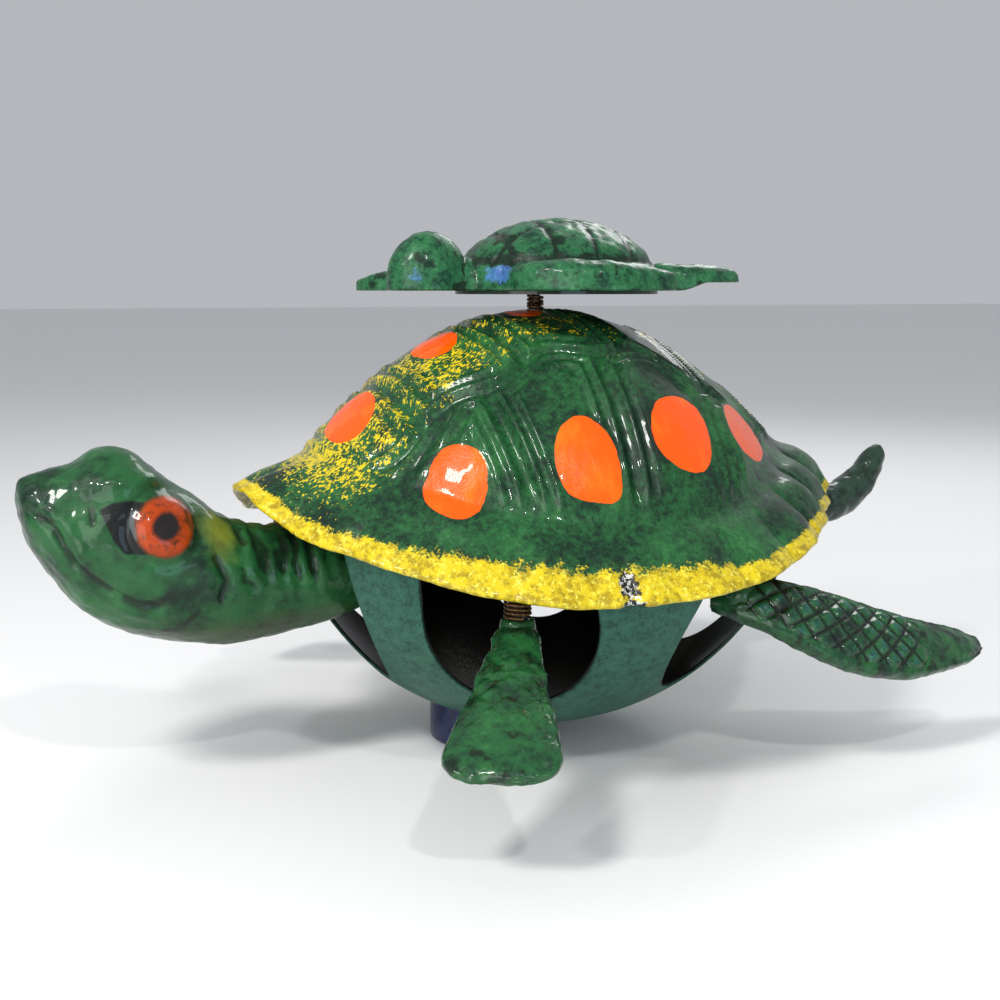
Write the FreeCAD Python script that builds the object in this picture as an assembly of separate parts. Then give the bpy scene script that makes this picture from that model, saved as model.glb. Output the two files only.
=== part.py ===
"""Garden turtle whose head, flippers, tail and baby turtle bob on coil springs.

Millimetres. The turtle faces -Y, its left side is +X and +Z is up. The origin is the centre of
the foot's flat bottom. Places on the turtle are given as (f, w, z): f forward of the cradle's
axis, w to the turtle's left, z above the ground.
"""

import FreeCAD
import Part
import math
import os

Vec = FreeCAD.Vector

# Foot
FOOT_DIAMETER = 44.0
FOOT_BOTTOM_RADIUS = 1.5
FOOT_BLANK_HEIGHT = 20.0  # before the cradle's round bottom is cut out of its top
FOOT_FORWARD = 19.0  # the foot stands this far in front of the cradle's axis, under the balance point
FOOT_SCREW_DIAMETER = 6.0
FOOT_SCREW_DEPTH = 5.5
FOOT_SCREW_GAP = 0.5  # between the screw's end and the bottom of its hole
SCREW_HEAD_DIAMETER = 11.0
SCREW_HEAD_HEIGHT = 3.5

# Cradle: a spherical bowl cut into six leaves by six windows
CRADLE_RADIUS = 99.0
CRADLE_BOTTOM = 6.5
CRADLE_WALL = 1.5
PAN_TOP = 28.0  # where the leaves start
WINDOW_BOTTOM = 27.0
WINDOWS = (  # (angle from straight ahead, width, height of the round lower end), round the left half
    (0, 78, 58),
    (58.5, 56.5, 33),
    (118, 57, 33),
    (180, 57, 33),
)
LEAF_ANGLES = (33, 88, 149)  # the middles of the left half's leaves

# Shell: a dome with a flared margin
SHELL_TOP = 154.0
SHELL_WALL = 1.5
SHELL_CROWN = 0.06  # flat middle, as a share of the way out to the rim
DOME_FOOT = 0.79  # where the dome meets the margin, as a share of the way out to the rim
DOME_FULLNESS_SIDE = 0.7  # lower is fuller
DOME_FULLNESS_END = 1.0
MARGIN_HEIGHT_SIDE = 92.0
MARGIN_HEIGHT_END = 109.0
RIM_CRADLE_RADIUS = 99.0  # the cradle that the rim is drawn for; it grows and shrinks with the cradle
RIM = (  # (f, w, z) round the left half of the rim, from nose to tail
    (111, 0, 101),
    (104, 28, 91),
    (94, 46, 86),
    (78, 68, 81),
    (45, 91, 73),
    (0, 102, 72),
    (-35, 98, 75),
    (-62, 84, 80),
    (-87, 60, 84),
    (-110, 32, 87),
    (-127, 0, 90),
)

# Limb springs and what holds them
SPRING_DIAMETER = 9.0
SPRING_WIRE = 1.1
SPRING_PITCH = 1.4
SPRING_PLAY = 0.3  # radial room round a pin inside its spring
PIN_DIAMETER = SPRING_DIAMETER - 2 * SPRING_WIRE - 2 * SPRING_PLAY
PIN_REACH = 4.5  # how far a pin stands into its spring
PIN_DEPTH = 7.0  # how far a pin goes into its limb
PIN_FIT = 0.02  # radial
STUD_DIAMETER = PIN_DIAMETER
COLLAR_DIAMETER = SPRING_DIAMETER + 2.0
COLLAR_HEIGHT = 1.5
FLIPPER_SPRING_RADIUS = CRADLE_RADIUS - 15.0  # distance of the flippers' springs from the cradle's axis
FLIPPER_SPRING_LENGTH = 15.0
FRONT_ANGLE = 60.0  # from straight ahead, towards the side
REAR_ANGLE = 120.0
FRONT_SEAT = 63.0  # height of the pad that the spring stands on
REAR_SEAT = 66.0
HEAD_SPRING_FORWARD = CRADLE_RADIUS - 5.0
HEAD_SPRING_LENGTH = 11.0
HEAD_SEAT = 88.5
TAIL_SPRING_FORWARD = -CRADLE_RADIUS - 5.0
TAIL_SPRING_LENGTH = 12.0
TAIL_SEAT = 87.0

# Baby turtle and its spring
BABY_SPRING_DIAMETER = 6.3
BABY_SPRING_WIRE = 1.1
BABY_SPRING_PITCH = 1.35
BABY_SPRING_LENGTH = 9.5
BABY_PIN_DIAMETER = BABY_SPRING_DIAMETER - 2 * BABY_SPRING_WIRE - 2 * SPRING_PLAY
BABY_PIN_REACH = 3.0
BABY_PIN_DEPTH = 6.0
BABY_SCREW_HEAD = 8.0
BABY_WALL = 1.5
BABY_PLATE = 1.2
BABY_DOME = (-9.0, 40.0, 33.0, 26.0)  # middle, half length, half width, height
BABY_HEAD = (42.0, 15.5, 11.5, 20.0)
BABY_FLIPPER_THICKNESS = 5.0
BABY_HIND_LIFT = 3.0  # how far the hind flippers' undersides are above the plate
BABY_BOSS_ROOF = 1.0  # material above the baby's pin
BABY_BRIDGE_WIDTH = 4.0  # the rib that ties the pin's boss to the dome
BABY_BRIDGE_HEIGHT = 3.0

# Head and neck: (forward of the spring, top, bottom, half width) of the cross-sections
HEAD_WALL = 3.0
HEAD_SECTIONS = (
    (-28, 82, 56, 13),
    (-14, 84, 52, 16),
    (4, 86, 48.5, 18),
    (18, 88, 47, 20),
    (30, 96, 47.5, 22.5),
    (40, 104, 49.5, 24),
    (49, 112, 52, 24),
    (57, 115, 55, 22.5),
    (65, 113, 60, 19.5),
    (72, 110, 67, 16),
    (79, 108.5, 76.5, 11.5),
    (84, 106, 87, 7),
    (86.3, 104, 95, 3.5),
)

# Front flippers: (out from the spring, z, half width, half thickness)
FRONT_SECTIONS = (
    (-8, 57, 4, 3.5),
    (0, 56.5, 6.5, 5.5),
    (12, 54, 8, 5.2),
    (26, 49, 10.5, 4.8),
    (40, 43, 13, 4.4),
    (51, 38, 16, 4),
    (58, 35.2, 16.2, 3.4),
    (62, 33.6, 12.5, 2.4),
    (63.5, 33, 6, 1.2),
)

# Rear flippers: (forward of the spring, outwards from it, z, half width, half thickness)
REAR_SECTIONS = (
    (7, -6.2, 60, 4, 3.5),
    (0, 0, 60.3, 7, 5.2),
    (-12, 7.3, 57.5, 10.5, 5.2),
    (-26, 12.3, 51.5, 13.5, 5),
    (-44, 15.3, 45, 14, 4.8),
    (-62, 16.3, 41, 11.5, 4.4),
    (-78, 15.3, 39, 8.5, 3.6),
    (-90, 13.8, 37.5, 5.5, 2.6),
    (-96.5, 12.8, 37.3, 2.4, 1.2),
)
REAR_TILT = 48.0  # how far the rear flippers' outer edge hangs down

# Tail: (forward of the spring, z, radius) along its middle
TAIL_SECTIONS = (
    (9, 79, 5),
    (0, 78.5, 6.6),
    (-14, 77, 6.8),
    (-26, 77.5, 7),
    (-37, 80.5, 7),
    (-46, 86, 6.4),
    (-52.5, 92, 5),
    (-56.5, 97.5, 3.2),
    (-58, 100.2, 1.2),
)

CRADLE_CENTRE = CRADLE_BOTTOM + CRADLE_RADIUS
SHELL_INSIDE_TOP = SHELL_TOP - SHELL_WALL
BABY_FLOOR = SHELL_TOP + BABY_SPRING_LENGTH
BIG = 400.0
CUT_PAST = 1.0  # how far a cutter runs past the face that it opens


def place(f, w, z):
    """A point of the turtle in the part's own frame."""
    return Vec(w, FOOT_FORWARD - f, z)


def around(angle, radius, z):
    """A point at an angle from straight ahead, towards the left, about the cradle's axis."""
    a = math.radians(angle)
    return place(radius * math.cos(a), radius * math.sin(a), z)


def mirrored(shape):
    """The same piece on the turtle's right side."""
    return shape.mirror(Vec(0, 0, 0), Vec(1, 0, 0))


def post(at, diameter, bottom, top):
    """An upright round bar centred over a point."""
    return Part.makeCylinder(diameter / 2, top - bottom, Vec(at.x, at.y, bottom))


def slab(bottom, top):
    """Everything between two heights."""
    return Part.makeBox(2 * BIG, 2 * BIG, top - bottom, Vec(-BIG, -BIG, bottom))


def main_solid(shape):
    """The largest solid of a cut shape."""
    return max(shape.Solids, key=lambda s: s.Volume)


def lowest_solid(shape):
    """The lowest solid of a cut shape."""
    return min(shape.Solids, key=lambda s: s.BoundBox.ZMin)


def ring(points):
    """A smooth closed wire through points."""
    curve = Part.BSplineCurve()
    curve.interpolate(points, PeriodicFlag=True)
    return Part.Wire(curve.toShape())


def oval(centre, across, up, count=12):
    """A closed oval wire about a centre, with half-axes given as vectors."""
    turns = [2 * math.pi * i / count for i in range(count)]
    return ring([centre + across * math.cos(t) + up * math.sin(t) for t in turns])


def spread(sections, centre_of, size_of, side_of):
    """A closed loft through ovals square to the line that joins the sections' middles."""
    centres = [centre_of(s) for s in sections]
    wires = []
    for i, s in enumerate(sections):
        before, after = centres[max(i - 1, 0)], centres[min(i + 1, len(centres) - 1)]
        along = (after - before).normalize()
        side = side_of(along)
        up = side.cross(along).normalize()
        half_width, half_height = size_of(s)
        wires.append(oval(centres[i], side * half_width, up * half_height))
    return Part.makeLoft(wires, True, False)


def ellipsoid(f, z, half_length, half_width, height):
    """An ellipsoid centred on the turtle's middle plane."""
    ball = Part.makeSphere(1.0)
    matrix = FreeCAD.Matrix()
    matrix.scale(half_width, half_length, height)
    shape = ball.transformGeometry(matrix)
    shape.translate(place(f, 0, z))
    return shape


def coil(at, bottom, length, diameter, wire, pitch):
    """A coil spring standing between two seats."""
    radius = (diameter - wire) / 2
    path = Part.makeHelix(pitch, length - wire, radius)
    section = Part.Wire(Part.makeCircle(wire / 2, Vec(radius, 0, 0), Vec(0, 1, 0)))
    spring = Part.Wire(path).makePipeShell([section], True, True)
    spring.translate(Vec(at.x, at.y, bottom + wire / 2))
    return spring


def shell_profile(rim_point, share):
    """A point on the shell's outside, a share of the way out from its middle to a rim point."""
    f, w, rim_z = rim_point
    reach = math.hypot(f, w)
    endwise = (f / reach) ** 2
    foot_z = MARGIN_HEIGHT_SIDE + (MARGIN_HEIGHT_END - MARGIN_HEIGHT_SIDE) * endwise
    fullness = DOME_FULLNESS_SIDE + (DOME_FULLNESS_END - DOME_FULLNESS_SIDE) * endwise
    if share > DOME_FOOT:
        z = rim_z + (foot_z - rim_z) * (1 - share) / (1 - DOME_FOOT)
    elif share > SHELL_CROWN:
        z = foot_z + (SHELL_TOP - foot_z) * (1 - (share / DOME_FOOT) ** 2) ** fullness
    else:
        z = SHELL_TOP
    return f * share, w * share, z


def shell_rings(shares):
    """The shell's outer rings and, a wall's thickness inside them, its inner rings."""
    scale = CRADLE_RADIUS / RIM_CRADLE_RADIUS
    left = [(f * scale, w * scale, z) for f, w, z in RIM]
    right = [(f, -w, z) for f, w, z in left[-2:0:-1]]
    outer, inner = [[] for _ in shares], [[] for _ in shares]
    for rim_point in left + right:
        points = [place(*shell_profile(rim_point, s)) for s in shares]
        for i, point in enumerate(points):
            before, after = points[max(i - 1, 0)], points[min(i + 1, len(points) - 1)]
            inward = after - before
            flat = math.hypot(inward.x, inward.y)
            normal = Vec(inward.x / flat * inward.z, inward.y / flat * inward.z, -flat)
            if i == len(points) - 1:
                normal = Vec(0, 0, -1)
            outer[i].append(point)
            inner[i].append(point + normal.normalize() * SHELL_WALL)
    return [ring(points) for points in outer], [ring(points) for points in inner]


def make_shell(baby_at):
    shares = (1.0, 0.94, 0.88, 0.82, DOME_FOOT - 0.01, 0.73, 0.64, 0.52, 0.38, 0.22, SHELL_CROWN)
    outer, inner = shell_rings(shares)
    faces = []
    for rings in (outer, inner):
        faces += Part.makeLoft(rings, False, False).Faces
        faces.append(Part.Face(rings[-1]))
    faces.append(Part.makeRuledSurface(outer[0].Edges[0], inner[0].Edges[0]))
    skin = Part.makeShell(faces)
    skin.sewShape()
    solid = Part.makeSolid(skin if skin.ShapeType == "Shell" else skin.Shells[0])
    if solid.Volume < 0:
        solid.reverse()
    hole = post(baby_at, BABY_PIN_DIAMETER + 2 * PIN_FIT, SHELL_INSIDE_TOP - CUT_PAST, SHELL_TOP + CUT_PAST)
    return main_solid(solid.cut(hole))


def make_cradle(shell):
    """The pan and its leaves, in order from the front left round to the right."""
    centre = place(0, 0, CRADLE_CENTRE)
    bowl = Part.makeSphere(CRADLE_RADIUS, centre).cut(
        Part.makeSphere(CRADLE_RADIUS - CRADLE_WALL, centre)
    )
    foot_hole = post(Vec(0, 0, 0), FOOT_SCREW_DIAMETER + 2 * PIN_FIT, 0, PAN_TOP)
    pan = main_solid(bowl.common(slab(0, PAN_TOP)).cut(foot_hole))
    wall = bowl.common(slab(PAN_TOP, CRADLE_CENTRE))
    leaves = []
    for angle, width, arch in WINDOWS:
        for side in {angle, -angle}:
            wall = wall.cut(window(side, width, arch))
    for angle in LEAF_ANGLES + tuple(-a for a in LEAF_ANGLES[::-1]):
        middle = around(angle, CRADLE_RADIUS, CRADLE_CENTRE)
        leaf = min(wall.Solids, key=lambda s: s.CenterOfMass.sub(middle).Length)
        leaves.append(lowest_solid(leaf.cut(shell)))
    return pan, leaves


def window(angle, width, arch):
    """The cutter for one window: a round-ended upright slot that runs outwards from the axis."""
    length = CRADLE_RADIUS + FOOT_DIAMETER
    outline = Part.Face(Part.Wire(Part.Ellipse(Vec(0, 0, 0), arch, width / 2).toShape()))
    cutter = outline.extrude(Vec(0, 0, length))
    cutter.rotate(Vec(0, 0, 0), Vec(0, 1, 0), 90)
    cutter = cutter.fuse(Part.makeBox(length, width, BIG, Vec(0, -width / 2, 0)))
    cutter.rotate(Vec(0, 0, 0), Vec(0, 0, 1), angle - 90)
    cutter.translate(place(0, 0, WINDOW_BOTTOM + arch))
    return cutter


def make_foot():
    foot = post(Vec(0, 0, 0), FOOT_DIAMETER, 0, FOOT_BLANK_HEIGHT)
    bottom_edges = [e for e in foot.Edges if e.BoundBox.ZMax < 0.001]
    foot = foot.makeFillet(FOOT_BOTTOM_RADIUS, bottom_edges)
    foot = lowest_solid(foot.cut(Part.makeSphere(CRADLE_RADIUS, place(0, 0, CRADLE_CENTRE))))
    top = foot_screw_seat()
    return foot.cut(post(Vec(0, 0, 0), FOOT_SCREW_DIAMETER + 2 * PIN_FIT, top - FOOT_SCREW_DEPTH, top))


def foot_screw_seat():
    """The height of the cradle's inside at the rim of the foot screw's head."""
    inside = CRADLE_RADIUS - CRADLE_WALL
    return CRADLE_CENTRE - math.sqrt(inside**2 - (FOOT_FORWARD + SCREW_HEAD_DIAMETER / 2) ** 2)


def make_foot_screw():
    seat = foot_screw_seat()
    head = post(Vec(0, 0, 0), SCREW_HEAD_DIAMETER, seat - SCREW_HEAD_HEIGHT, seat + SCREW_HEAD_HEIGHT)
    head = head.common(Part.makeSphere(CRADLE_RADIUS - CRADLE_WALL, place(0, 0, CRADLE_CENTRE)))
    stem = post(Vec(0, 0, 0), FOOT_SCREW_DIAMETER, seat - FOOT_SCREW_DEPTH + FOOT_SCREW_GAP, seat)
    return main_solid(head.fuse(stem).removeSplitter())


def make_stud(at, spring_top, shell):
    """A stud under the shell, with the collar that a spring's top end lies against."""
    stem = post(at, STUD_DIAMETER, spring_top, SHELL_TOP)
    stem = lowest_solid(stem.cut(shell))
    collar = post(at, COLLAR_DIAMETER, spring_top, spring_top + COLLAR_HEIGHT)
    nose = post(at, PIN_DIAMETER, spring_top - PIN_REACH, spring_top)
    return main_solid(stem.fuse(collar).fuse(nose).removeSplitter())


def make_pin(at, seat):
    """The pin that stands out of a limb into its spring."""
    return post(at, PIN_DIAMETER, seat - PIN_DEPTH, seat + PIN_REACH)


def seated(limb, at, seat, pad_bottom):
    """A limb cut away round its spring, with the pad under the spring and the hole for its pin."""
    room = post(at, COLLAR_DIAMETER + 2 * SPRING_PLAY, seat, seat + PIN_REACH)
    pad = post(at, COLLAR_DIAMETER, pad_bottom, seat)
    hole = post(at, PIN_DIAMETER + 2 * PIN_FIT, seat - PIN_DEPTH, seat + CUT_PAST)
    return main_solid(limb.cut(room).fuse(pad).cut(hole))


def head_loft(at, sections, inset):
    wires = [
        oval(at + Vec(0, -f, (top + low) / 2), Vec(half - inset, 0, 0), Vec(0, 0, (top - low) / 2 - inset))
        for f, top, low, half in sections
    ]
    return Part.makeLoft(wires, True, False)


def inside_sections():
    """The sections of the head's sealed hollow, which starts a wall's thickness in."""
    first, second = HEAD_SECTIONS[:2]
    share = HEAD_WALL / (second[0] - first[0])
    start = tuple(a + (b - a) * share for a, b in zip(first, second))
    return (start,) + HEAD_SECTIONS[1:-2]


def make_head(at):
    """A hollow casting, closed at the neck's rear end, with a solid boss for its pin."""
    outside = head_loft(at, HEAD_SECTIONS, 0)
    inside = head_loft(at, inside_sections(), HEAD_WALL)
    pad = post(at, COLLAR_DIAMETER, HEAD_SEAT - 2 * PIN_DEPTH, HEAD_SEAT)
    hole = post(at, PIN_DIAMETER + 2 * PIN_FIT, HEAD_SEAT - PIN_DEPTH, HEAD_SEAT + CUT_PAST)
    return main_solid(outside.cut(inside).fuse(pad).cut(hole))


def make_front_flipper(at):
    a = math.radians(FRONT_ANGLE)
    out = (around(FRONT_ANGLE, 1, 0) - around(FRONT_ANGLE, 0, 0)).normalize()
    across = Vec(math.cos(a), math.sin(a), 0)
    blade = spread(
        FRONT_SECTIONS,
        lambda s: Vec(at.x, at.y, s[1]) + out * s[0],
        lambda s: (s[2], s[3]),
        lambda along: across,
    )
    return seated(blade, at, FRONT_SEAT, FRONT_SECTIONS[1][1])


def make_rear_flipper(at):
    def side(along):
        level = along.cross(Vec(0, 0, 1)).normalize()
        return FreeCAD.Rotation(along, REAR_TILT).multVec(level)

    blade = spread(
        REAR_SECTIONS,
        lambda s: at + Vec(s[1], -s[0], s[2]),
        lambda s: (s[3], s[4]),
        side,
    )
    return seated(blade, at, REAR_SEAT, REAR_SECTIONS[1][2])


def make_tail(at):
    horn = spread(
        TAIL_SECTIONS,
        lambda s: at + Vec(0, -s[0], s[1]),
        lambda s: (s[2], s[2]),
        lambda along: Vec(1, 0, 0),
    )
    return seated(horn, at, TAIL_SEAT, TAIL_SECTIONS[1][1])


def blade(outline, lift=0.0):
    """A flat flipper of the baby turtle, from its outline in (f, w)."""
    face = Part.Face(ring([place(f, w, BABY_FLOOR + BABY_PLATE + lift) for f, w in outline]))
    return face.extrude(Vec(0, 0, BABY_FLIPPER_THICKNESS))


def baby_flippers():
    """The baby turtle's flippers: the left front one trails, the right front one reaches ahead."""
    trailing = ((22, 20), (26, 34), (12, 43), (-14, 47), (-30, 46), (-16, 38), (0, 28))
    reaching = ((30, -8), (42, -25), (55, -42), (48, -46), (32, -36), (18, -24))
    hind = ((-34, 10), (-40, 26), (-54, 31), (-70, 28), (-73, 20), (-60, 14), (-44, 4))
    hind_blade = blade(hind, BABY_HIND_LIFT)
    return [blade(trailing), blade(reaching), hind_blade, mirrored(hind_blade)]


def make_baby(at):
    floor = BABY_FLOOR + BABY_PLATE
    mid, length, width, height = BABY_DOME
    head_mid, head_length, head_width, head_height = BABY_HEAD
    dome = ellipsoid(mid, floor, length, width, height)
    head = ellipsoid(head_mid, floor, head_length, head_width, head_height)
    hollow = ellipsoid(mid, floor, length - BABY_WALL, width - BABY_WALL, height - BABY_WALL)
    above = slab(floor, floor + BIG)
    body = dome.fuse(head).common(above)
    for flipper in baby_flippers():
        body = body.fuse(flipper)
    body = body.cut(hollow.common(above))
    boss = post(at, COLLAR_DIAMETER, floor, floor + BABY_PIN_DEPTH + BABY_BOSS_ROOF)
    hole = post(at, BABY_PIN_DIAMETER + 2 * PIN_FIT, floor, floor + BABY_PIN_DEPTH)
    low = floor + BABY_PIN_DEPTH + BABY_BOSS_ROOF - BABY_BRIDGE_HEIGHT
    corner = Vec(-width, at.y - BABY_BRIDGE_WIDTH / 2, low)
    bridge = Part.makeBox(2 * width, BABY_BRIDGE_WIDTH, BABY_BRIDGE_HEIGHT, corner)
    bridge = bridge.common(dome.common(above))
    return main_solid(body.fuse(boss).fuse(bridge).cut(hole))


def make_baby_plate(at):
    mid, length, width, _ = BABY_DOME
    disc = Part.Face(
        oval(place(mid, 0, BABY_FLOOR), Vec(width - BABY_WALL, 0, 0), Vec(0, length - BABY_WALL, 0))
    )
    plate = disc.extrude(Vec(0, 0, BABY_PLATE))
    top = BABY_FLOOR + BABY_PLATE
    hole = post(at, BABY_PIN_DIAMETER + 2 * PIN_FIT, BABY_FLOOR - CUT_PAST, top + CUT_PAST)
    return plate.cut(hole)


def make_baby_screw(at):
    head = post(at, BABY_SCREW_HEAD, SHELL_INSIDE_TOP - SCREW_HEAD_HEIGHT, SHELL_INSIDE_TOP)
    stem = post(at, BABY_PIN_DIAMETER, SHELL_INSIDE_TOP, SHELL_TOP + BABY_PIN_REACH)
    return main_solid(head.fuse(stem).removeSplitter())


def build():
    """Every piece by name."""
    head_at = place(HEAD_SPRING_FORWARD, 0, 0)
    tail_at = place(TAIL_SPRING_FORWARD, 0, 0)
    baby_at = place(0, 0, 0)
    front_at = around(FRONT_ANGLE, FLIPPER_SPRING_RADIUS, 0)
    rear_at = around(REAR_ANGLE, FLIPPER_SPRING_RADIUS, 0)
    shell = make_shell(baby_at)
    pan, leaves = make_cradle(shell)
    pieces = {"foot": make_foot(), "foot_screw": make_foot_screw(), "shell": shell, "cradle_pan": pan}
    leaf_names = ("left_front", "left_side", "left_rear", "right_rear", "right_side", "right_front")
    for name, leaf in zip(leaf_names, leaves):
        pieces["cradle_leaf_" + name] = leaf

    limbs = (
        ("head", head_at, HEAD_SEAT, HEAD_SPRING_LENGTH, make_head(head_at)),
        ("tail", tail_at, TAIL_SEAT, TAIL_SPRING_LENGTH, make_tail(tail_at)),
        ("left_front_flipper", front_at, FRONT_SEAT, FLIPPER_SPRING_LENGTH, make_front_flipper(front_at)),
        ("left_rear_flipper", rear_at, REAR_SEAT, FLIPPER_SPRING_LENGTH, make_rear_flipper(rear_at)),
    )
    for name, at, seat, length, limb in limbs:
        made = {
            name: limb,
            name + "_pin": make_pin(at, seat),
            name + "_spring": coil(at, seat, length, SPRING_DIAMETER, SPRING_WIRE, SPRING_PITCH),
            name + "_stud": make_stud(at, seat + length, shell),
        }
        pieces.update(made)
        if name.startswith("left"):
            pieces.update({key.replace("left", "right"): mirrored(s) for key, s in made.items()})

    pieces["baby_screw"] = make_baby_screw(baby_at)
    pieces["baby_spring"] = coil(
        baby_at, SHELL_TOP, BABY_SPRING_LENGTH, BABY_SPRING_DIAMETER, BABY_SPRING_WIRE, BABY_SPRING_PITCH
    )
    pieces["baby_turtle"] = make_baby(baby_at)
    pieces["baby_plate"] = make_baby_plate(baby_at)
    pieces["baby_pin"] = post(
        baby_at, BABY_PIN_DIAMETER, BABY_FLOOR - BABY_PIN_REACH, BABY_FLOOR + BABY_PLATE + BABY_PIN_DEPTH
    )
    return pieces


def main():
    os.makedirs("parts", exist_ok=True)
    for name, shape in build().items():
        if not shape.isValid() or shape.Volume <= 0:
            raise ValueError(name + " is not a sound solid")
        shape.exportStep("parts/" + name + ".step")
        print(name, len(shape.Solids), round(shape.Volume), "mm3")


main()
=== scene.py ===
"""The looks of a bobbing garden turtle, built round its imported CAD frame."""

import math

import bmesh
import bpy
import numpy as np
from mathutils import Matrix, Vector, noise


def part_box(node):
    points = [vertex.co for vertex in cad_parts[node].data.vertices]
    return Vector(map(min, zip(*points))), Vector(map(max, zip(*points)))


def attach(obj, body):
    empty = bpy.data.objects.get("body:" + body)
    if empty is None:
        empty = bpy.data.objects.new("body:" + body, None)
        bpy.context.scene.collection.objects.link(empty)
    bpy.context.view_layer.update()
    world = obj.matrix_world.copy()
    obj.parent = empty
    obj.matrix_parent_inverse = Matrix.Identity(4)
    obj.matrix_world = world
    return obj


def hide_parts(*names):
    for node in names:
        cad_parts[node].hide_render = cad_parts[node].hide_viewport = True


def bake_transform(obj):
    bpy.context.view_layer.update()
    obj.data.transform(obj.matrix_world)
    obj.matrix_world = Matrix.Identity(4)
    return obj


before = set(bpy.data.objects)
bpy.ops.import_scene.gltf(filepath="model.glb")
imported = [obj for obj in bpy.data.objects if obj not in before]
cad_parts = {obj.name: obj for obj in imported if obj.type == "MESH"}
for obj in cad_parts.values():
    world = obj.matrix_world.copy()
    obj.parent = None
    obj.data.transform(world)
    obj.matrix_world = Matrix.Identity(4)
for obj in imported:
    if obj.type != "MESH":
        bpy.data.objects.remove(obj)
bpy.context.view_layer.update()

bl_info = {
    "name": "Bobbing Garden Turtle",
    "version": (1, 0, 0),
    "blender": (4, 5, 0),
    "location": "View3D > Sidebar > Turtle",
    "description": "Builds a painted metal garden turtle whose limbs bob on coil springs",
    "category": "Add Mesh",
}

MM = 0.001
LIMBS = (
    "head",
    "tail",
    "left_front_flipper",
    "right_front_flipper",
    "left_rear_flipper",
    "right_rear_flipper",
)
CRADLE_NODES = [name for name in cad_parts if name.startswith("cradle")]


def node_middle(*nodes):
    """The middle of the box round some CAD nodes, in millimetres."""
    boxes = [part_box(name) for name in nodes]
    low = [min(box[0][k] for box in boxes) for k in range(3)]
    high = [max(box[1][k] for box in boxes) for k in range(3)]
    return [(a + b) / 2 / MM for a, b in zip(low, high)]


AXIS_Y = node_middle("cradle_pan")[1]  # the cradle's upright axis, behind the foot
SHELL_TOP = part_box("shell")[1][2] / MM
CRADLE_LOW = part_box("cradle_pan")[0][2] / MM
BABY_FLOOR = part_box("baby_plate")[0][2] / MM


# ---------------------------------------------------------------- sizes and colours


def linear(red, green, blue):
    """A colour given as 0 to 255 on a display, as the linear colour a shader needs."""
    shares = [c / 255 for c in (red, green, blue)]
    return tuple(c / 12.92 if c <= 0.04045 else ((c + 0.055) / 1.055) ** 2.4 for c in shares)


def colour_prop(name, description, default):
    """A colour that a user can change, given as it shows on a display."""
    return bpy.props.FloatVectorProperty(
        name=name, description=description, subtype="COLOR", size=3, min=0, max=1, default=linear(*default)
    )


def length_prop(name, description, millimetres):
    """A length that a user can change."""
    default = millimetres * MM
    return bpy.props.FloatProperty(
        name=name, description=description, subtype="DISTANCE", unit="LENGTH", default=default, min=0
    )


class TurtleSizes(bpy.types.PropertyGroup):
    rail_height: length_prop("Rail height", "How far the ridges on the shell's scutes stand up", 1.6)
    yellow_edge: length_prop("Yellow edge", "Width of the yellow band round the shell's rim", 7.2)
    rim_roll: length_prop("Rim thickness", "Thickness of the shell's rounded rim", 2.4)
    scale_pitch: length_prop("Scale pitch", "Distance between the scales of the flippers", 8.6)
    scale_height: length_prop("Scale height", "How far the flippers' scales stand up", 1.5)
    spring_wire: length_prop("Spring wire", "Thickness of the coil springs' wire", 1.1)
    spring_pitch: length_prop("Spring pitch", "Rise of one turn of the coil springs", 1.4)


class TurtleColours(bpy.types.PropertyGroup):
    green: colour_prop("Green", "Main green of the turtle", (32, 84, 44))
    deep: colour_prop("Deep green", "Green of the darker brush strokes", (12, 38, 24))
    bright: colour_prop("Bright green", "Green of the lightest brush strokes", (58, 122, 62))
    wash: colour_prop("Black wash", "Wash in the grooves", (13, 17, 15))
    yellow: colour_prop("Yellow", "Yellow of the rim and the sponged speckle", (208, 184, 26))
    orange: colour_prop("Orange", "Orange of the spots and the eye's ring", (246, 84, 0))
    teal: colour_prop("Teal", "Outside of the cradle", (46, 92, 76))
    navy: colour_prop("Navy", "The foot", (22, 34, 74))


# ---------------------------------------------------------------- shader expressions

SHINE = 0.15
MOTTLE_DEPTH = 0.4 * MM
STEEL_GRAIN_DEPTH = 0.2 * MM


class Value:
    """A shader socket that can be used in a Python expression."""

    def __init__(self, paint, socket):
        self.paint, self.socket = paint, socket

    def math(self, operation, *others):
        return self.paint.node("Math", {"operation": operation}, [self, *others])

    def __add__(self, other):
        return self.math("ADD", other)

    def __mul__(self, other):
        return self.math("MULTIPLY", other)

    def __sub__(self, other):
        return self.math("SUBTRACT", other)

    def __truediv__(self, other):
        return self.math("DIVIDE", other)

    def __rsub__(self, other):
        return self.paint.node("Math", {"operation": "SUBTRACT"}, [other, self])

    __radd__ = __add__
    __rmul__ = __mul__

    def clear(self, low, high):
        """0 below one value, 1 above the other, and smooth between them."""
        inputs = {"Value": self, "From Min": low, "From Max": high}
        return self.paint.node("MapRange", {"interpolation_type": "SMOOTHSTEP"}, inputs)


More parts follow.
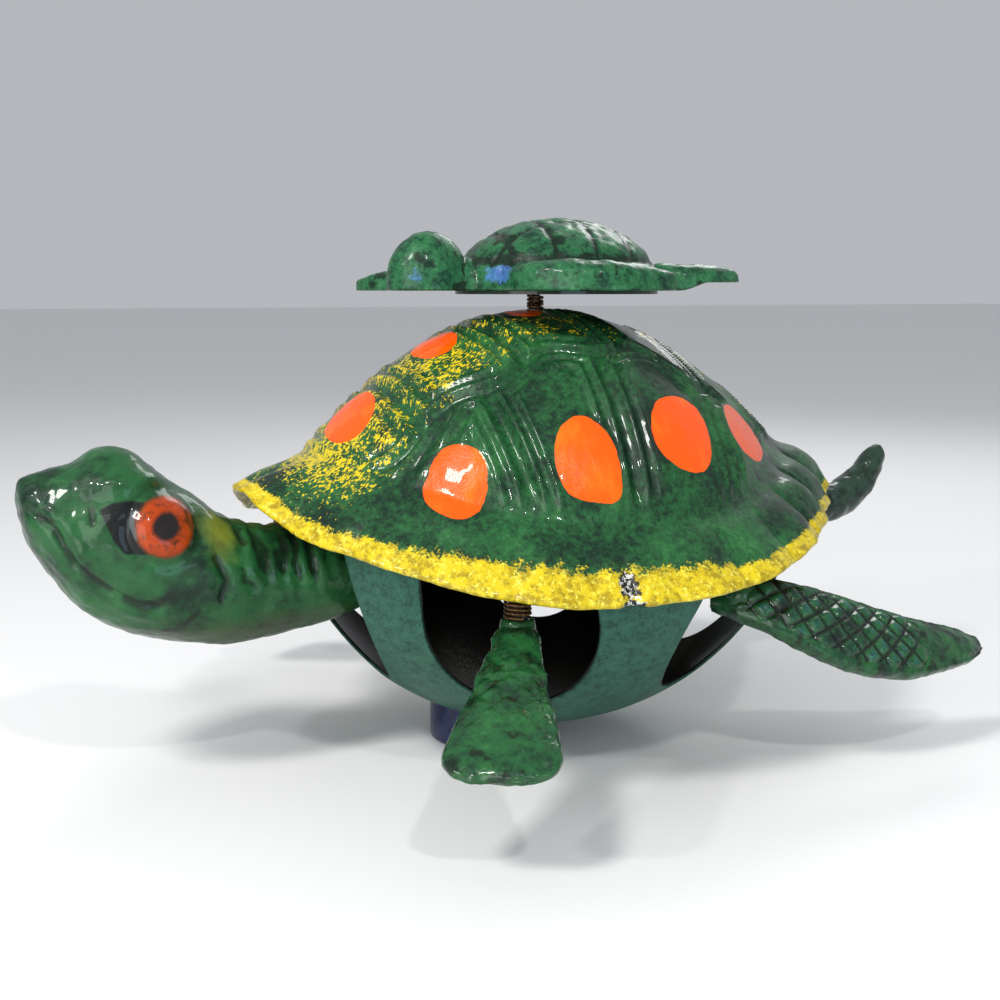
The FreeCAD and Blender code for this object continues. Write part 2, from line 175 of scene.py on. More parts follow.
class Paint:
    """One material under construction."""

    def __init__(self, name):
        self.material = bpy.data.materials.new(name)
        self.material.use_nodes = True
        self.tree = self.material.node_tree
        self.shader = self.tree.nodes["Principled BSDF"]

    def node(self, kind, settings=None, inputs=(), output=0):
        """A new node with its settings, the values or links of its sockets, and the output to use."""
        made = self.tree.nodes.new("ShaderNode" + kind)
        for key, value in (settings or {}).items():
            setattr(made, key, value)
        for key, value in inputs.items() if isinstance(inputs, dict) else enumerate(inputs):
            self.plug(made.inputs[key], value)
        return Value(self, made.outputs[output])

    def plug(self, socket, value):
        if isinstance(value, Value):
            self.tree.links.new(value.socket, socket)
        elif value is not None and socket.type == "RGBA":
            socket.default_value = (*value[:3], 1.0)
        elif value is not None:
            socket.default_value = value

    def place(self):
        """Where a point lies on the piece, in metres."""
        return self.node("TexCoord", output="Object")

    def stretched(self, scale):
        """The place with each axis scaled, for grain that runs one way."""
        return self.node("Mapping", {}, {"Vector": self.place(), "Scale": scale})

    def grain(self, scale, detail, roughness=0.6, at=None):
        """Noise with a number of patches to the metre."""
        inputs = {"Vector": at or self.place(), "Scale": scale, "Detail": detail, "Roughness": roughness}
        return self.node("TexNoise", {}, inputs)

    def mark(self, name):
        """A value stored on the piece's points."""
        return self.node("Attribute", {"attribute_name": name}, output="Fac")

    def ragged(self, mark, noise, spread, low, high):
        """A mark as a mask, with its edge broken up by noise."""
        return (mark + (noise - 0.5) * spread).clear(low, high)

    def three_tones(self, tone, colours, mid, light, strength):
        """A dark, a middle and a light colour brushed over each other, by a tone from 0 to 1."""
        dark_to_mid = self.blend(colours[0], colours[1], tone.clear(*mid))
        return self.blend(dark_to_mid, colours[2], tone.clear(*light) * strength)

    def blend(self, first, second, share):
        """One colour laid over another by a share from 0 to 1."""
        settings = {"data_type": "RGBA", "clamp_factor": True}
        return self.node("Mix", settings, {0: share, 6: first, 7: second}, output=2)

    def bump(self, height, strength, depth):
        """A Bump node whose depth is in metres."""
        return self.node("Bump", {}, {"Strength": strength, "Distance": depth, "Height": height})

    def finish(self, colour, roughness, metallic=0.0, coat=0.0, coat_roughness=0.1, bump=None):
        """Plugs everything into the shader and gives the material."""
        sockets = self.shader.inputs
        for name, value in (
            ("Base Color", colour),
            ("Specular IOR Level", SHINE),
            ("Roughness", roughness),
            ("Metallic", metallic),
            ("Coat Weight", coat),
            ("Coat Roughness", coat_roughness),
            ("Normal", bump),
        ):
            self.plug(sockets[name], value)
        return self.material


def greens(colours):
    """The turtle's greens, from dark to light."""
    return colours.deep, colours.green, colours.bright


def mottle_bump(paint, strength):
    """The slightly rough face of thick paint on a casting."""
    height = paint.grain(900, 3, 0.65) + paint.grain(240, 2, 0.5) * 0.8
    return paint.bump(height, strength, MOTTLE_DEPTH)


def shell_paint(colours):
    paint = Paint("shell_paint")
    stipple = paint.grain(620, 3, 0.7)
    tone = (paint.grain(38, 3) * 0.75 + paint.grain(420, 4, 0.7) * 0.55 + paint.grain(1100, 2) * 0.2) / 1.5
    green = paint.three_tones(tone, greens(colours), (0.42, 0.58), (0.54, 0.70), 0.75)
    washed = paint.ragged(paint.mark("groove"), paint.grain(260, 3, 0.7), 1.6, 0.35, 1.2)
    colour = paint.blend(green, linear(12, 34, 30), washed * 0.6)
    # Painted shade: dark blue-grey in the creases where the dome's foot meets the margin, towards the tail.
    crease_shade = paint.ragged(paint.mark("painted_shade"), paint.grain(150, 4, 0.7), 1.8, 0.45, 0.85)
    colour = paint.blend(colour, linear(24, 30, 36), crease_shade * 0.85)

    dabs = paint.grain(1, 2, 0.7, paint.stretched((1300, 700, 520)))
    sponge = dabs * 0.45 + paint.grain(620, 2, 0.7) * 0.3 + paint.grain(150, 2) * 0.25
    sponged = (sponge + paint.mark("speckle") * 0.15).clear(0.665, 0.705)
    colour = paint.blend(colour, colours.yellow, sponged)

    streaks = paint.grain(230, 2) * 0.6 + paint.grain(1100, 3, 0.7) * 0.6
    edge = (paint.mark("edge") + (streaks - 0.6) * 2.0).clear(0.82, 1.08)
    worn = paint.grain(240, 4, 0.75).clear(0.42, 0.62)
    rich = paint.blend(colours.yellow, linear(142, 120, 18), worn * 0.85)
    lit = paint.grain(620, 3, 0.7).clear(0.54, 0.66)
    colour = paint.blend(colour, paint.blend(rich, linear(236, 232, 96), lit * 0.65), edge)
    chipped = paint.ragged(paint.mark("chip"), paint.grain(420, 3, 0.7), 1.6, 0.42, 0.6)
    bare = paint.blend(colours.wash, linear(190, 190, 180), paint.grain(620, 3, 0.7).clear(0.52, 0.58))
    colour = paint.blend(colour, bare, chipped)

    spot = paint.ragged(paint.mark("spot"), paint.grain(300, 2), 0.9, -0.12, 0.12)
    brushed = paint.grain(1, 3, 0.6, paint.stretched((90, 90, 28))).clear(0.5, 0.75)
    colour = paint.blend(colour, paint.blend(colours.orange, linear(236, 106, 14), brushed), spot)
    inside = paint.mark("inside").clear(0.4, 0.6)
    colour = paint.blend(colour, colours.wash, inside)
    rough = 0.30 + stipple * 0.12 - spot * 0.10 + inside * 0.25
    return paint.finish(colour, rough, coat=0.35, coat_roughness=0.05, bump=mottle_bump(paint, 0.3))


def head_paint(colours):
    paint = Paint("head_paint")
    brush = paint.grain(1, 4, 0.65, paint.stretched((210, 120, 150)))
    tone = paint.grain(48, 4) * 0.65 + brush * 0.35
    colour = paint.three_tones(tone, greens(colours), (0.36, 0.56), (0.55, 0.72), 0.5)
    eye_ring = paint.mark("ring")
    burnt = paint.blend(linear(166, 58, 6), linear(88, 38, 10), paint.grain(200, 3).clear(0.46, 0.66))
    burnt = paint.blend(linear(112, 50, 14), burnt, paint.ragged(eye_ring, brush, 0.2, -0.02, 0.14))
    for layer, share in (
        (linear(142, 140, 30), paint.ragged(paint.mark("blush"), brush, 0.8, 0.1, 1.2) * 0.6),
        (linear(56, 64, 38), paint.ragged(paint.mark("chin"), brush, 1.2, 0.3, 1.1) * 0.6),
        # Painted black strokes, with the painted shade of the lower head and the neck's creases.
        (colours.wash, paint.ragged(paint.mark("strokes_and_shade"), brush, 1.1, 0.3, 0.95) * 0.75),
        (colours.wash, paint.ragged(paint.mark("patch"), brush, 0.06, -0.05, 0.05)),
        (linear(96, 104, 104), paint.mark("sliver").clear(0.3, 0.7) * 0.6),
        (burnt, paint.ragged(eye_ring, brush, 0.35, -0.10, 0.06)),
        (linear(30, 26, 26), paint.ragged(paint.mark("pupil"), brush, 0.1, -0.10, 0.10)),
    ):
        colour = paint.blend(colour, layer, share)
    rough = 0.30 + brush * 0.1
    return paint.finish(colour, rough, coat=0.35, coat_roughness=0.06, bump=mottle_bump(paint, 0.4))


def scaly_paint(colours):
    """Green with black in the grooves between the scales, and a painted bluish highlight on the scales'
    tops.
    """
    paint = Paint("flipper_paint")
    stipple = paint.grain(480, 4, 0.7)
    tone = paint.grain(110, 3, 0.65) * 0.55 + stipple * 0.45
    tones = (linear(20, 52, 34), colours.green, colours.bright)
    green = paint.three_tones(tone, tones, (0.38, 0.55), (0.54, 0.68), 0.55)
    # Painted highlight: a bluish sheen on the tops of the scales.
    scale = paint.ragged(paint.mark("scale"), tone, 1.6, 0.8, 1.2)
    colour = paint.blend(green, linear(40, 92, 104), scale * 0.45)
    washed = paint.ragged(paint.mark("groove"), stipple, 1.1, 0.3, 0.85)
    colour = paint.blend(colour, colours.wash, washed * 0.92)
    colour = paint.blend(colour, colours.wash, paint.grain(120, 4, 0.7).clear(0.50, 0.62) * 0.85)
    rough = 0.22 + stipple * 0.12
    return paint.finish(colour, rough, coat=0.5, coat_roughness=0.08, bump=mottle_bump(paint, 0.4))


def baby_paint(colours):
    paint = Paint("baby_paint")
    stipple = paint.grain(700, 4, 0.7)
    tone = paint.grain(170, 3, 0.7) * 0.6 + stipple * 0.4
    tones = (linear(16, 52, 36), linear(38, 94, 58), linear(78, 142, 92))
    green = paint.three_tones(tone, tones, (0.38, 0.54), (0.54, 0.68), 0.6)
    washed = paint.ragged(paint.mark("groove") * 1.1, tone, 2.6, 0.4, 0.8)
    colour = paint.blend(green, colours.wash, washed * 0.85)
    # Blue paint on the shoulder, and a painted bluish highlight on the cheek.
    blue = paint.ragged(paint.mark("blue"), tone, 3.0, 0.55, 1.0)
    colour = paint.blend(colour, linear(66, 108, 168), blue * 0.8)
    rough = 0.24 + stipple * 0.16
    return paint.finish(colour, rough, coat=0.2, coat_roughness=0.1, bump=mottle_bump(paint, 0.45))


def cradle_paint(colours):
    paint = Paint("cradle_paint")
    fleck = paint.grain(900, 3, 0.75)
    tone = paint.grain(260, 4, 0.7) * 0.55 + fleck * 0.45
    tones = (linear(34, 66, 56), colours.teal, linear(70, 112, 94))
    teal = paint.three_tones(tone, tones, (0.38, 0.54), (0.53, 0.68), 0.6)
    worn = paint.ragged(paint.mark("wear"), paint.grain(500, 3), 0.8, 0.5, 0.95)
    colour = paint.blend(teal, colours.wash, worn * 0.7)
    inside = paint.mark("inside").clear(0.4, 0.6)
    colour = paint.blend(colour, linear(5, 7, 8), inside)
    rough = 0.45 + fleck * 0.15 - inside * 0.22
    return paint.finish(colour, rough, coat=0.08, coat_roughness=0.2, bump=mottle_bump(paint, 0.35))


def plain_paint(name, colour, roughness, streak):
    """One glossy colour with streaks of a share of its brightness."""
    paint = Paint(name)
    grain = paint.grain(300, 4, 0.65)
    mixed = paint.blend(colour, [c * streak for c in colour], grain.clear(0.42, 0.62))
    return paint.finish(mixed, roughness + grain * 0.1, coat=0.5, bump=mottle_bump(paint, 0.2))


STEELS = {  # noise, its edges, light and dark colour, roughness and its spread, metallic, bump
    "spring_steel": ((1300, 4, 0.7), (0.42, 0.6), (120, 92, 62), (52, 36, 26), (0.32, 0.3), 0.85, 0.15),
    "plain_steel": ((1500, 3, 0.6), (0.4, 0.62), (84, 82, 78), (44, 42, 40), (0.34, 0.2), 0.9, 0.12),
}


def steel(name):
    """Bare metal that is darker and rougher in patches."""
    noise, edges, light, dark, (roughness, spread), metallic, strength = STEELS[name]
    paint = Paint(name)
    patches = paint.grain(*noise)
    colour = paint.blend(linear(*light), linear(*dark), patches.clear(*edges))
    bump = paint.bump(patches, strength, STEEL_GRAIN_DEPTH)
    return paint.finish(colour, roughness + patches * spread, metallic=metallic, bump=bump)


# ---------------------------------------------------------------- shapes


def place(f, w, z):
    """Metres in the frame, from millimetres forward of the axis, to the left and up."""
    return np.stack(np.broadcast_arrays(w, AXIS_Y - f, z), axis=-1) * MM


def bell(x, middle, width):
    """A smooth bump of height 1."""
    return np.exp(-(((x - middle) / width) ** 2))


def step(x, low, high):
    """0 below one value, 1 above the other, and smooth between them."""
    t = np.clip((x - low) / (high - low), 0, 1)
    return t * t * (3 - 2 * t)


def mound(x, y, middle, widths):
    """A smooth bump of height 1 over two directions."""
    return np.exp(-(((x - middle[0]) / widths[0]) ** 2) - ((y - middle[1]) / widths[1]) ** 2)


def smooth_line(points, count, closed=False, spacing=None):
    """A cubic spline through rows of numbers, sampled evenly or at given shares of its length."""
    p = np.array(points, float)
    m = len(p)
    if closed:
        p = np.vstack([p, p[:1]])
    h = np.linalg.norm(np.diff(p[:, : min(3, p.shape[1])], axis=0), axis=1)
    t = np.concatenate([[0], np.cumsum(h)])
    n = len(p)
    system, right = np.eye(n), np.zeros_like(p)
    for i in range(1, n - 1):
        system[i, i - 1 : i + 2] = h[i - 1], 2 * (h[i - 1] + h[i]), h[i]
        right[i] = 6 * ((p[i + 1] - p[i]) / h[i] - (p[i] - p[i - 1]) / h[i - 1])
    if closed:
        system[0] = 0
        system[0, 0], system[0, 1], system[0, m - 1] = 2 * (h[0] + h[-1]), h[0], h[-1]
        right[0] = 6 * ((p[1] - p[0]) / h[0] - (p[0] - p[m - 1]) / h[-1])
        system[m] = 0
        system[m, 0], system[m, m] = 1, -1
        right[m] = 0
    bend = np.linalg.solve(system, right)
    shares = np.linspace(0, 1, count, endpoint=not closed) if spacing is None else spacing
    at = shares * t[-1]
    k = np.clip(np.searchsorted(t, at, side="right") - 1, 0, n - 2)
    hk, u = h[k][:, None], (at - t[k])[:, None]
    v = hk - u
    curve = (bend[k] * v**3 + bend[k + 1] * u**3) / (6 * hk)
    return curve + (p[k] / hk - bend[k] * hk / 6) * v + (p[k + 1] / hk - bend[k + 1] * hk / 6) * u


def grid_normals(grid):
    """Unit normals of a grid of points whose rows are rings."""
    along = np.gradient(grid, axis=0)
    across = (np.roll(grid, -1, 1) - np.roll(grid, 1, 1)) / 2
    normal = np.cross(across, along)
    return normal / np.maximum(np.linalg.norm(normal, axis=2, keepdims=True), 1e-12)


def upward_normals(grid):
    """Unit normals of a grid, on the side that faces up."""
    normal = grid_normals(grid)
    return normal * np.where(normal[..., 2:] < 0, -1, 1)


def outward_normals(grid):
    """Unit normals of a grid of rings, away from the rings' middles."""
    normal = grid_normals(grid)
    middle = grid.mean(axis=1, keepdims=True)
    return -normal if ((grid - middle) * normal).sum() < 0 else normal


def lumps(points, size, octaves, seed):
    """Smooth noise at points in metres, from about -1 to 1, with lumps of a size in millimetres."""
    shift = Vector((seed, seed * 1.7, seed * 2.3))
    scaled = points.reshape(-1, 3) / (size * MM)
    values = [noise.fractal(Vector(p) + shift, 0.8, 2.0, octaves) for p in scaled]
    return np.array(values).reshape(points.shape[:-1])


def near_path(x, y, path):
    """Distance from points to a line of short straight runs."""
    best = np.full(x.shape, 1e9)
    for (x0, y0), (x1, y1) in zip(path[:-1], path[1:]):
        dx, dy = x1 - x0, y1 - y0
        t = np.clip(((x - x0) * dx + (y - y0) * dy) / (dx * dx + dy * dy), 0, 1)
        best = np.minimum(best, np.hypot(x - x0 - t * dx, y - y0 - t * dy))
    return best


def within(x, y, outline):
    """Signed distance to a closed outline, positive inside."""
    distance = near_path(x, y, list(outline) + [outline[0]])
    inside = np.zeros(x.shape, bool)
    for (x0, y0), (x1, y1) in zip(outline, outline[1:] + outline[:1]):
        crosses = (y0 > y) != (y1 > y)
        inside ^= crosses & (x < (x1 - x0) * (y - y0) / (y1 - y0 + 1e-12) + x0)
    return np.where(inside, distance, -distance)


def mesh_object(name, vertices, faces, marks=None):
    """A smooth-shaded object whose faces point outwards."""
    name = "painted_" + name
    mesh = bpy.data.meshes.new(name)
    mesh.from_pydata([tuple(v) for v in vertices], [], faces)
    add_marks(mesh, marks or {})
    mesh.update()
    if signed_volume(mesh) < 0:
        mesh.flip_normals()
    mesh.shade_smooth()
    made = bpy.data.objects.new(name, mesh)
    bpy.context.collection.objects.link(made)
    return made


def add_marks(mesh, marks):
    """Stores named values on a mesh's points, for its paint to read."""
    for key, values in marks.items():
        layer = mesh.attributes.new(key, "FLOAT", "POINT")
        layer.data.foreach_set("value", np.asarray(values, float))


def mesh_points(mesh):
    """The points of a mesh as rows."""
    points = np.empty(len(mesh.vertices) * 3)
    mesh.vertices.foreach_get("co", points)
    return points.reshape(-1, 3)


def signed_volume(mesh):
    """Six times the volume that a mesh encloses, negative where its faces point inwards."""
    mesh.calc_loop_triangles()
    corners = np.empty(len(mesh.loop_triangles) * 3, int)
    mesh.loop_triangles.foreach_get("vertices", corners)
    a, b, c = mesh_points(mesh)[corners.reshape(-1, 3)].transpose(1, 0, 2)
    return float(np.einsum("ij,ij->i", a, np.cross(b, c)).sum())


def closed_skin(name, grid, marks):
    """An object from a grid of rings, closed to a point at both ends."""
    rows, columns = grid.shape[:2]
    ends = np.array([grid[0].mean(axis=0), grid[-1].mean(axis=0)])
    low, high, last = rows * columns, rows * columns + 1, (rows - 1) * columns
    faces = []
    for a in range(0, last, columns):
        for c in range(columns):
            d = (c + 1) % columns
            faces.append((a + c, a + d, a + columns + d, a + columns + c))
    for c in range(columns):
        d = (c + 1) % columns
        faces.append((low, d, c))
        faces.append((high, last + c, last + d))
    full = {}
    for key, values in marks.items():
        values = np.broadcast_to(values, (rows, columns))
        full[key] = np.concatenate([values.ravel(), [values[0].mean(), values[-1].mean()]])
    return mesh_object(name, np.vstack([grid.reshape(-1, 3), ends]), faces, full)


def joined(name, *objects):
    """Several objects as one, with the first one's material."""
    with bpy.context.temp_override(active_object=objects[0], selected_editable_objects=list(objects)):
        bpy.ops.object.join()
    objects[0].name = objects[0].data.name = "painted_" + name
    return objects[0]


def dress(piece, material, body, *nodes):
    """Gives a piece its material, its body and the CAD nodes that it stands for."""
    piece.data.materials.clear()
    piece.data.materials.append(material)
    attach(piece, body)
    if nodes:
        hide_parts(*nodes)


# ---------------------------------------------------------------- shell

RIM = (  # (f, w, z) round the left half of the shell's rim, from nose to tail
    (111, 0, 101),
    (104, 28, 91),
    (94, 46, 86),
    (78, 68, 81),
    (45, 91, 73),
    (0, 102, 72),
    (-35, 98, 75),
    (-62, 84, 80),
    (-87, 60, 84),
    (-110, 32, 87),
    (-127, 0, 90),
)
DOME_FOOT = 0.79  # where the dome meets the margin, as a share of the way out to the rim
DOME_FULLNESS_SIDE, DOME_FULLNESS_END = 0.7, 1.0
MARGIN_SIDE, MARGIN_END = 92.0, 109.0  # height of the dome's foot
MARGIN_SCUTES = 24
SHELL_COLUMNS = 700
SHELL_WALL = 3.2
SCALLOP_START = 0.82  # share of the way out from which the rim's scallops show
SCALLOP_DEPTH, RAGGED_EDGE = 1.6, 0.55
BEAK_FROM = 90  # forward of this, the rim's middle is its beak
BEAK_DROP, BEAK_REACH = 1.5, 2.4
LIP_TURNS = (30, 60, 90, 120, 150)  # degrees round the rim's rolled edge
CROWN = (0.03, 0.09)  # shares of the way out between which the relief starts
SEAM_DEPTH, SEAM_WIDTH = 0.9, 1.1
RAILS, RAIL_WIDTH = (3.4, 8.0), 1.15  # how far in from the seams the two rails of a scute run
PLATE_HEIGHT = 1.35  # of the smooth patches under the spots
RELIEF_SINK = 1.3  # how far the whole relief is let into the dome
COSTAL_SEAMS = ((53, 0.80), (38.5, -0.12), (0.5, 0.05), (-43, 0.12), (-80, 0.15))  # f at z 125, slant
KEEL_SEAMS = (88, 64, 28, -9, -46, -84)
SIDE_SPOTS = (  # outlines in (f, z)
    (
        (63.4, 104.9), (58.2, 113.2), (52.6, 116.1), (47.6, 114.3),
        (47.4, 105.5), (50.4, 98), (59.4, 94.4), (65.5, 99.2),
    ),
    (
        (26.6, 111.3), (21.5, 121.7), (14, 124.9), (7.7, 119.9),
        (6.4, 108), (9.4, 98.8), (17.5, 98.8), (24.8, 102),
    ),
    (
        (-21.1, 129.5), (-30, 127.9), (-34.4, 123.3), (-34.2, 116.5), (-31.4, 109.9), (-27.5, 106.5),
        (-22, 105.7), (-14.8, 108.2), (-10.5, 112.1), (-8.7, 117.5), (-10.5, 123.5), (-15.5, 128.3),
    ),
    (
        (-57.6, 123.2), (-67, 122), (-72.7, 115), (-73.6, 108),
        (-69.3, 105), (-57.2, 106.8), (-51.3, 112.4), (-51.5, 119.2),
    ),
)
KEEL_SPOTS = ((73.8, 6, 8, 13), (42, 5, 7.5, 11), (8, 6, 6, 9))
CHIP = (15.8, 3.6)  # the knock in the left edge: how far forward, and half its length
CHIP_NICK, CHIP_DEPTH = 2.6, 3.2
OFF_SPOTS = -99.0
SPOTS_TOP = 134  # above this height lie only the keel's spots


def rim_line(count):
    """The whole rim in (f, w, z), from the nose round the left side and back along the right."""
    right = [(f, -w, z) for f, w, z in RIM[-2:0:-1]]
    return smooth_line(list(RIM) + right, count, closed=True)


def shell_height(f, w, rim_z, share):
    """The height of the shell's plain surface."""
    endwise = (f / np.maximum(np.hypot(f, w), 1e-6)) ** 2
    foot = MARGIN_SIDE + (MARGIN_END - MARGIN_SIDE) * endwise
    fullness = DOME_FULLNESS_SIDE + (DOME_FULLNESS_END - DOME_FULLNESS_SIDE) * endwise
    margin = rim_z + (foot - rim_z) * (1 - share) / (1 - DOME_FOOT)
    inner = np.clip(1 - (share / DOME_FOOT) ** 2, 0, 1) ** fullness
    return np.where(share > DOME_FOOT, margin, foot + (SHELL_TOP - foot) * inner)


def keel_half_width(f):
    """How far from the middle the row of keel scutes reaches."""
    return 41 - 10 * (np.abs(f) / 80) ** 4 + 2.5 * np.cos((f - 34) / 36 * 2 * math.pi)


def scute_distances(f, w, z):
    """Distance in from the seams, on the keel scutes and on the side scutes."""
    side = np.abs(w)
    sway = f + 0.12 * side
    keel = np.min([np.abs(sway - seam) for seam in KEEL_SEAMS], axis=0)
    edge = (keel_half_width(f) - side) * 1.12
    costal = np.min([np.abs(f - seam - slant * (125 - z)) for seam, slant in COSTAL_SEAMS], axis=0)
    inside_keel = edge > 0
    return np.where(inside_keel, np.minimum(keel, edge), np.minimum(costal, -edge * 1.1)), inside_keel


def shell_relief(f, w, z, share, rail, spot):
    """How far the scutes, rails and margin stand out, the depth of the grooves, and where shade is painted
    in the creases at the dome's foot.
    """
    d, on_keel = scute_distances(f, w, z)
    on_dome = 1 - step(share, DOME_FOOT - 0.035, DOME_FOOT + 0.01)
    seam = bell(d, 0, SEAM_WIDTH)
    rails = bell(d, RAILS[0], RAIL_WIDTH) + np.where(on_keel, 0.7, 0.9) * bell(d, RAILS[1], RAIL_WIDTH)
    terrace = step(d, 1.5, 4) * 0.6 + step(d, 6.5, 9) * 0.5
    relief = rails * rail + terrace - seam * SEAM_DEPTH
    plate = step(spot, -2.2, -0.3)
    relief = (relief + (PLATE_HEIGHT - relief) * plate - RELIEF_SINK) * on_dome
    dips = np.maximum(seam * 0.7, 0.5 * bell(d, 5.7, 0.9)) * on_dome * (1 - plate)
    angle = np.arctan2(w, f)
    beat = np.abs(np.sin(angle * MARGIN_SCUTES / 2))
    on_margin = step(share, DOME_FOOT + 0.02, DOME_FOOT + 0.08)
    crease = bell(beat, 0, 0.10) * on_margin
    rearward = step(-f, -10, 45)
    lobe = 3.4 * step(-f, 45, 85) * bell(share, 0.91, 0.07)
    scutes = beat**0.6 * (0.7 + lobe) - crease * (0.5 + 0.6 * lobe)
    relief += scutes * on_margin * (0.45 + 0.55 * rearward)
    foot_line = bell(share, DOME_FOOT + 0.012, 0.014) * (0.25 + 0.75 * rearward)
    dips = np.maximum(dips, np.maximum(crease * rearward * 0.6, foot_line * 0.7))
    # Painted shade, in the creases at the dome's foot towards the tail.
    painted_shade = bell(share, DOME_FOOT + 0.01, 0.035) * (1 - beat) ** 1.5 * step(-f, 25, 60)
    return relief, dips, painted_shade


def spot_nearness(f, w, z):
    """How far inside the orange spots, in millimetres; negative outside."""
    outlines = [smooth_line(spot, 40, closed=True).tolist() for spot in SIDE_SPOTS]
    side = [within(f, z, outline) for outline in outlines]
    keel = [(1 - np.hypot((f - f0) / a, (w - w0) / b)) * a for f0, w0, a, b in KEEL_SPOTS]
    return np.maximum(np.where(z < SPOTS_TOP, np.max(side, axis=0), OFF_SPOTS), np.max(keel, axis=0))


def speckle_density(f, w, share, dips):
    """Where the sponged yellow lies: on the nose, the shoulders and along the keel."""
    front = (0.72 + 0.3 * step(f, -10, 45)) * (1 - step(np.abs(w), 28, 56)) * step(f, -40, -10)
    nose = step(f, 62, 92) * 0.35
    front *= 1 - 0.7 * (1 - step(f, 45, 62)) * step(np.abs(w), 30, 44)
    rear = step(-f, -12, 20) * (1 - step(np.abs(w), 10, 24)) * 0.85
    return np.clip(np.maximum(front, rear) + nose - dips * 0.9 - 0.6 * step(share, 0.80, 0.92), -0.5, 1.4)


def shell_rows():
    """Shares of the way out for the outer rows: finer where the relief is."""
    inner = np.linspace(0.012, DOME_FOOT - 0.03, 92, endpoint=False)
    foot = np.linspace(DOME_FOOT - 0.03, DOME_FOOT + 0.03, 9, endpoint=False)
    return np.concatenate([inner, foot, np.linspace(DOME_FOOT + 0.03, 1.0, 16)])


def shell_object(sizes):
    """The shell as one closed skin: its outside, rolled rim and underside."""
    f_rim, w_rim, z_rim = rim_line(SHELL_COLUMNS).T
    at_beak, on_left = f_rim > BEAK_FROM, w_rim > 0
    z_rim = z_rim - BEAK_DROP * bell(w_rim, 0, 5) * at_beak
    angle = np.arctan2(w_rim, f_rim)
    scallop = np.abs(np.sin(angle * MARGIN_SCUTES / 2)) ** 0.7
    ragged = lumps(place(f_rim, w_rim, z_rim), 7, 3, 3.0)
    chip = bell(f_rim, *CHIP) * on_left
    out = (scallop - 0.75) * SCALLOP_DEPTH + ragged * RAGGED_EDGE
    out += BEAK_REACH * bell(w_rim, 0, 6) * at_beak - CHIP_DEPTH * bell(f_rim, CHIP[0], CHIP_NICK) * on_left
    stretch = 1 + out / np.hypot(f_rim, w_rim)

    def plain_surface(share):
        reach = 1 + (stretch - 1) * step(share, SCALLOP_START, 1.0)
        z = shell_height(f_rim * share, w_rim * share, z_rim, share)
        return f_rim * share * reach, w_rim * share * reach, z

    share = shell_rows()[:, None]
    f, w, z = plain_surface(share)
    base = place(f, w, z)
    normal = upward_normals(base)
    spot = spot_nearness(f, w, z)
    relief, dips, painted_shade = shell_relief(f, w, z, share, sizes.rail_height / MM, spot)
    relief += lumps(base, 16, 2, 9.0) * 0.45 * step(share, DOME_FOOT - 0.02, DOME_FOOT + 0.05)
    relief += lumps(base, 5, 2, 5.0) * 0.16 - step(share, 0.93, 1.0) * 0.4
    outer = base + normal * (relief * step(share, *CROWN))[..., None] * MM

    roll = sizes.rim_roll * (1 - 0.35 * bell(w_rim, 0, 7) * at_beak)[:, None]
    edge, out_way = outer[-1], normal[-1]
    outward = edge - outer[-2]
    outward /= np.linalg.norm(outward, axis=1, keepdims=True)
    lip = [
        edge + outward * math.sin(a) * roll / 2 - out_way * (1 - math.cos(a)) * roll / 2
        for a in np.radians(LIP_TURNS)
    ]
    under_rows = np.linspace(0.985, DOME_FOOT, 5), np.linspace(0.70, 0.02, 6)
    under_share = np.concatenate(under_rows)[:, None]
    under_base = place(*plain_surface(under_share))
    wall = SHELL_WALL * MM + (roll.T - SHELL_WALL * MM) * step(under_share, 0.93, 1.0)
    under = under_base - upward_normals(under_base) * wall[..., None]

    grid = np.concatenate([outer, np.array(lip), under])
    to_rim = (1 - share) * np.hypot(f_rim, w_rim)
    band = sizes.yellow_edge / MM * (1.0 - 0.5 * step(-f_rim, 5, 40) - 0.22 * step(-f_rim, 50, 110))
    band = band * (1 - 0.5 * step(f_rim, 55, 95))
    marks = {
        "groove": dips,
        "painted_shade": painted_shade,
        "spot": spot,
        "speckle": speckle_density(f, w, share, dips),
        "edge": 2 - np.minimum(to_rim / band, 2),
        "chip": chip * step(share, 0.90, 0.95) * (1 - 0.5 * step(share, 0.975, 1.0)),
        "inside": np.zeros_like(f),
    }
    at_edge = {"edge": 2.0, "spot": -9.0, "chip": chip}
    beneath = {"inside": 1.0, "edge": 0.0}
    full = {}
    for key, values in marks.items():
        rest = np.zeros((len(grid) - len(outer), SHELL_COLUMNS)) + at_edge.get(key, 0.0)
        if key in beneath:
            rest[len(lip) + 3 :] = beneath[key]
        full[key] = np.concatenate([values, rest])
    return closed_skin("shell", grid, full)


# ---------------------------------------------------------------- head

HEAD_OUTLINE = (  # (f, top, bottom, half width) from inside the shell to the nose
    (66, 81.5, 56, 12.8),
    (80, 83.5, 52, 15.8),
    (98, 85.8, 48.5, 17.8),
    (112, 87.8, 46.9, 20),
    (119, 91.3, 46.9, 21.5),
    (126, 97.8, 47.8, 22.8),
    (134, 104, 49.3, 23.8),
    (142, 111.2, 51.6, 23.8),
    (150, 115.1, 54.4, 22.8),
    (156, 114.4, 57.8, 21),
    (162, 110.9, 62.0, 18.8),
    (168, 109.4, 69.0, 15.8),
    (173.5, 108.2, 77.0, 12.4),
    (177.5, 106.9, 85.6, 8.8),
    (179.7, 105.2, 93.0, 5.2),
    (180.4, 103.0, 98.0, 2.0),
)
HEAD_REACH = 2.0  # how far the nose stands forward of the outline above
HEAD_COLUMNS, HEAD_ROWS = 168, 190
EYE = (139.0, 91.0)
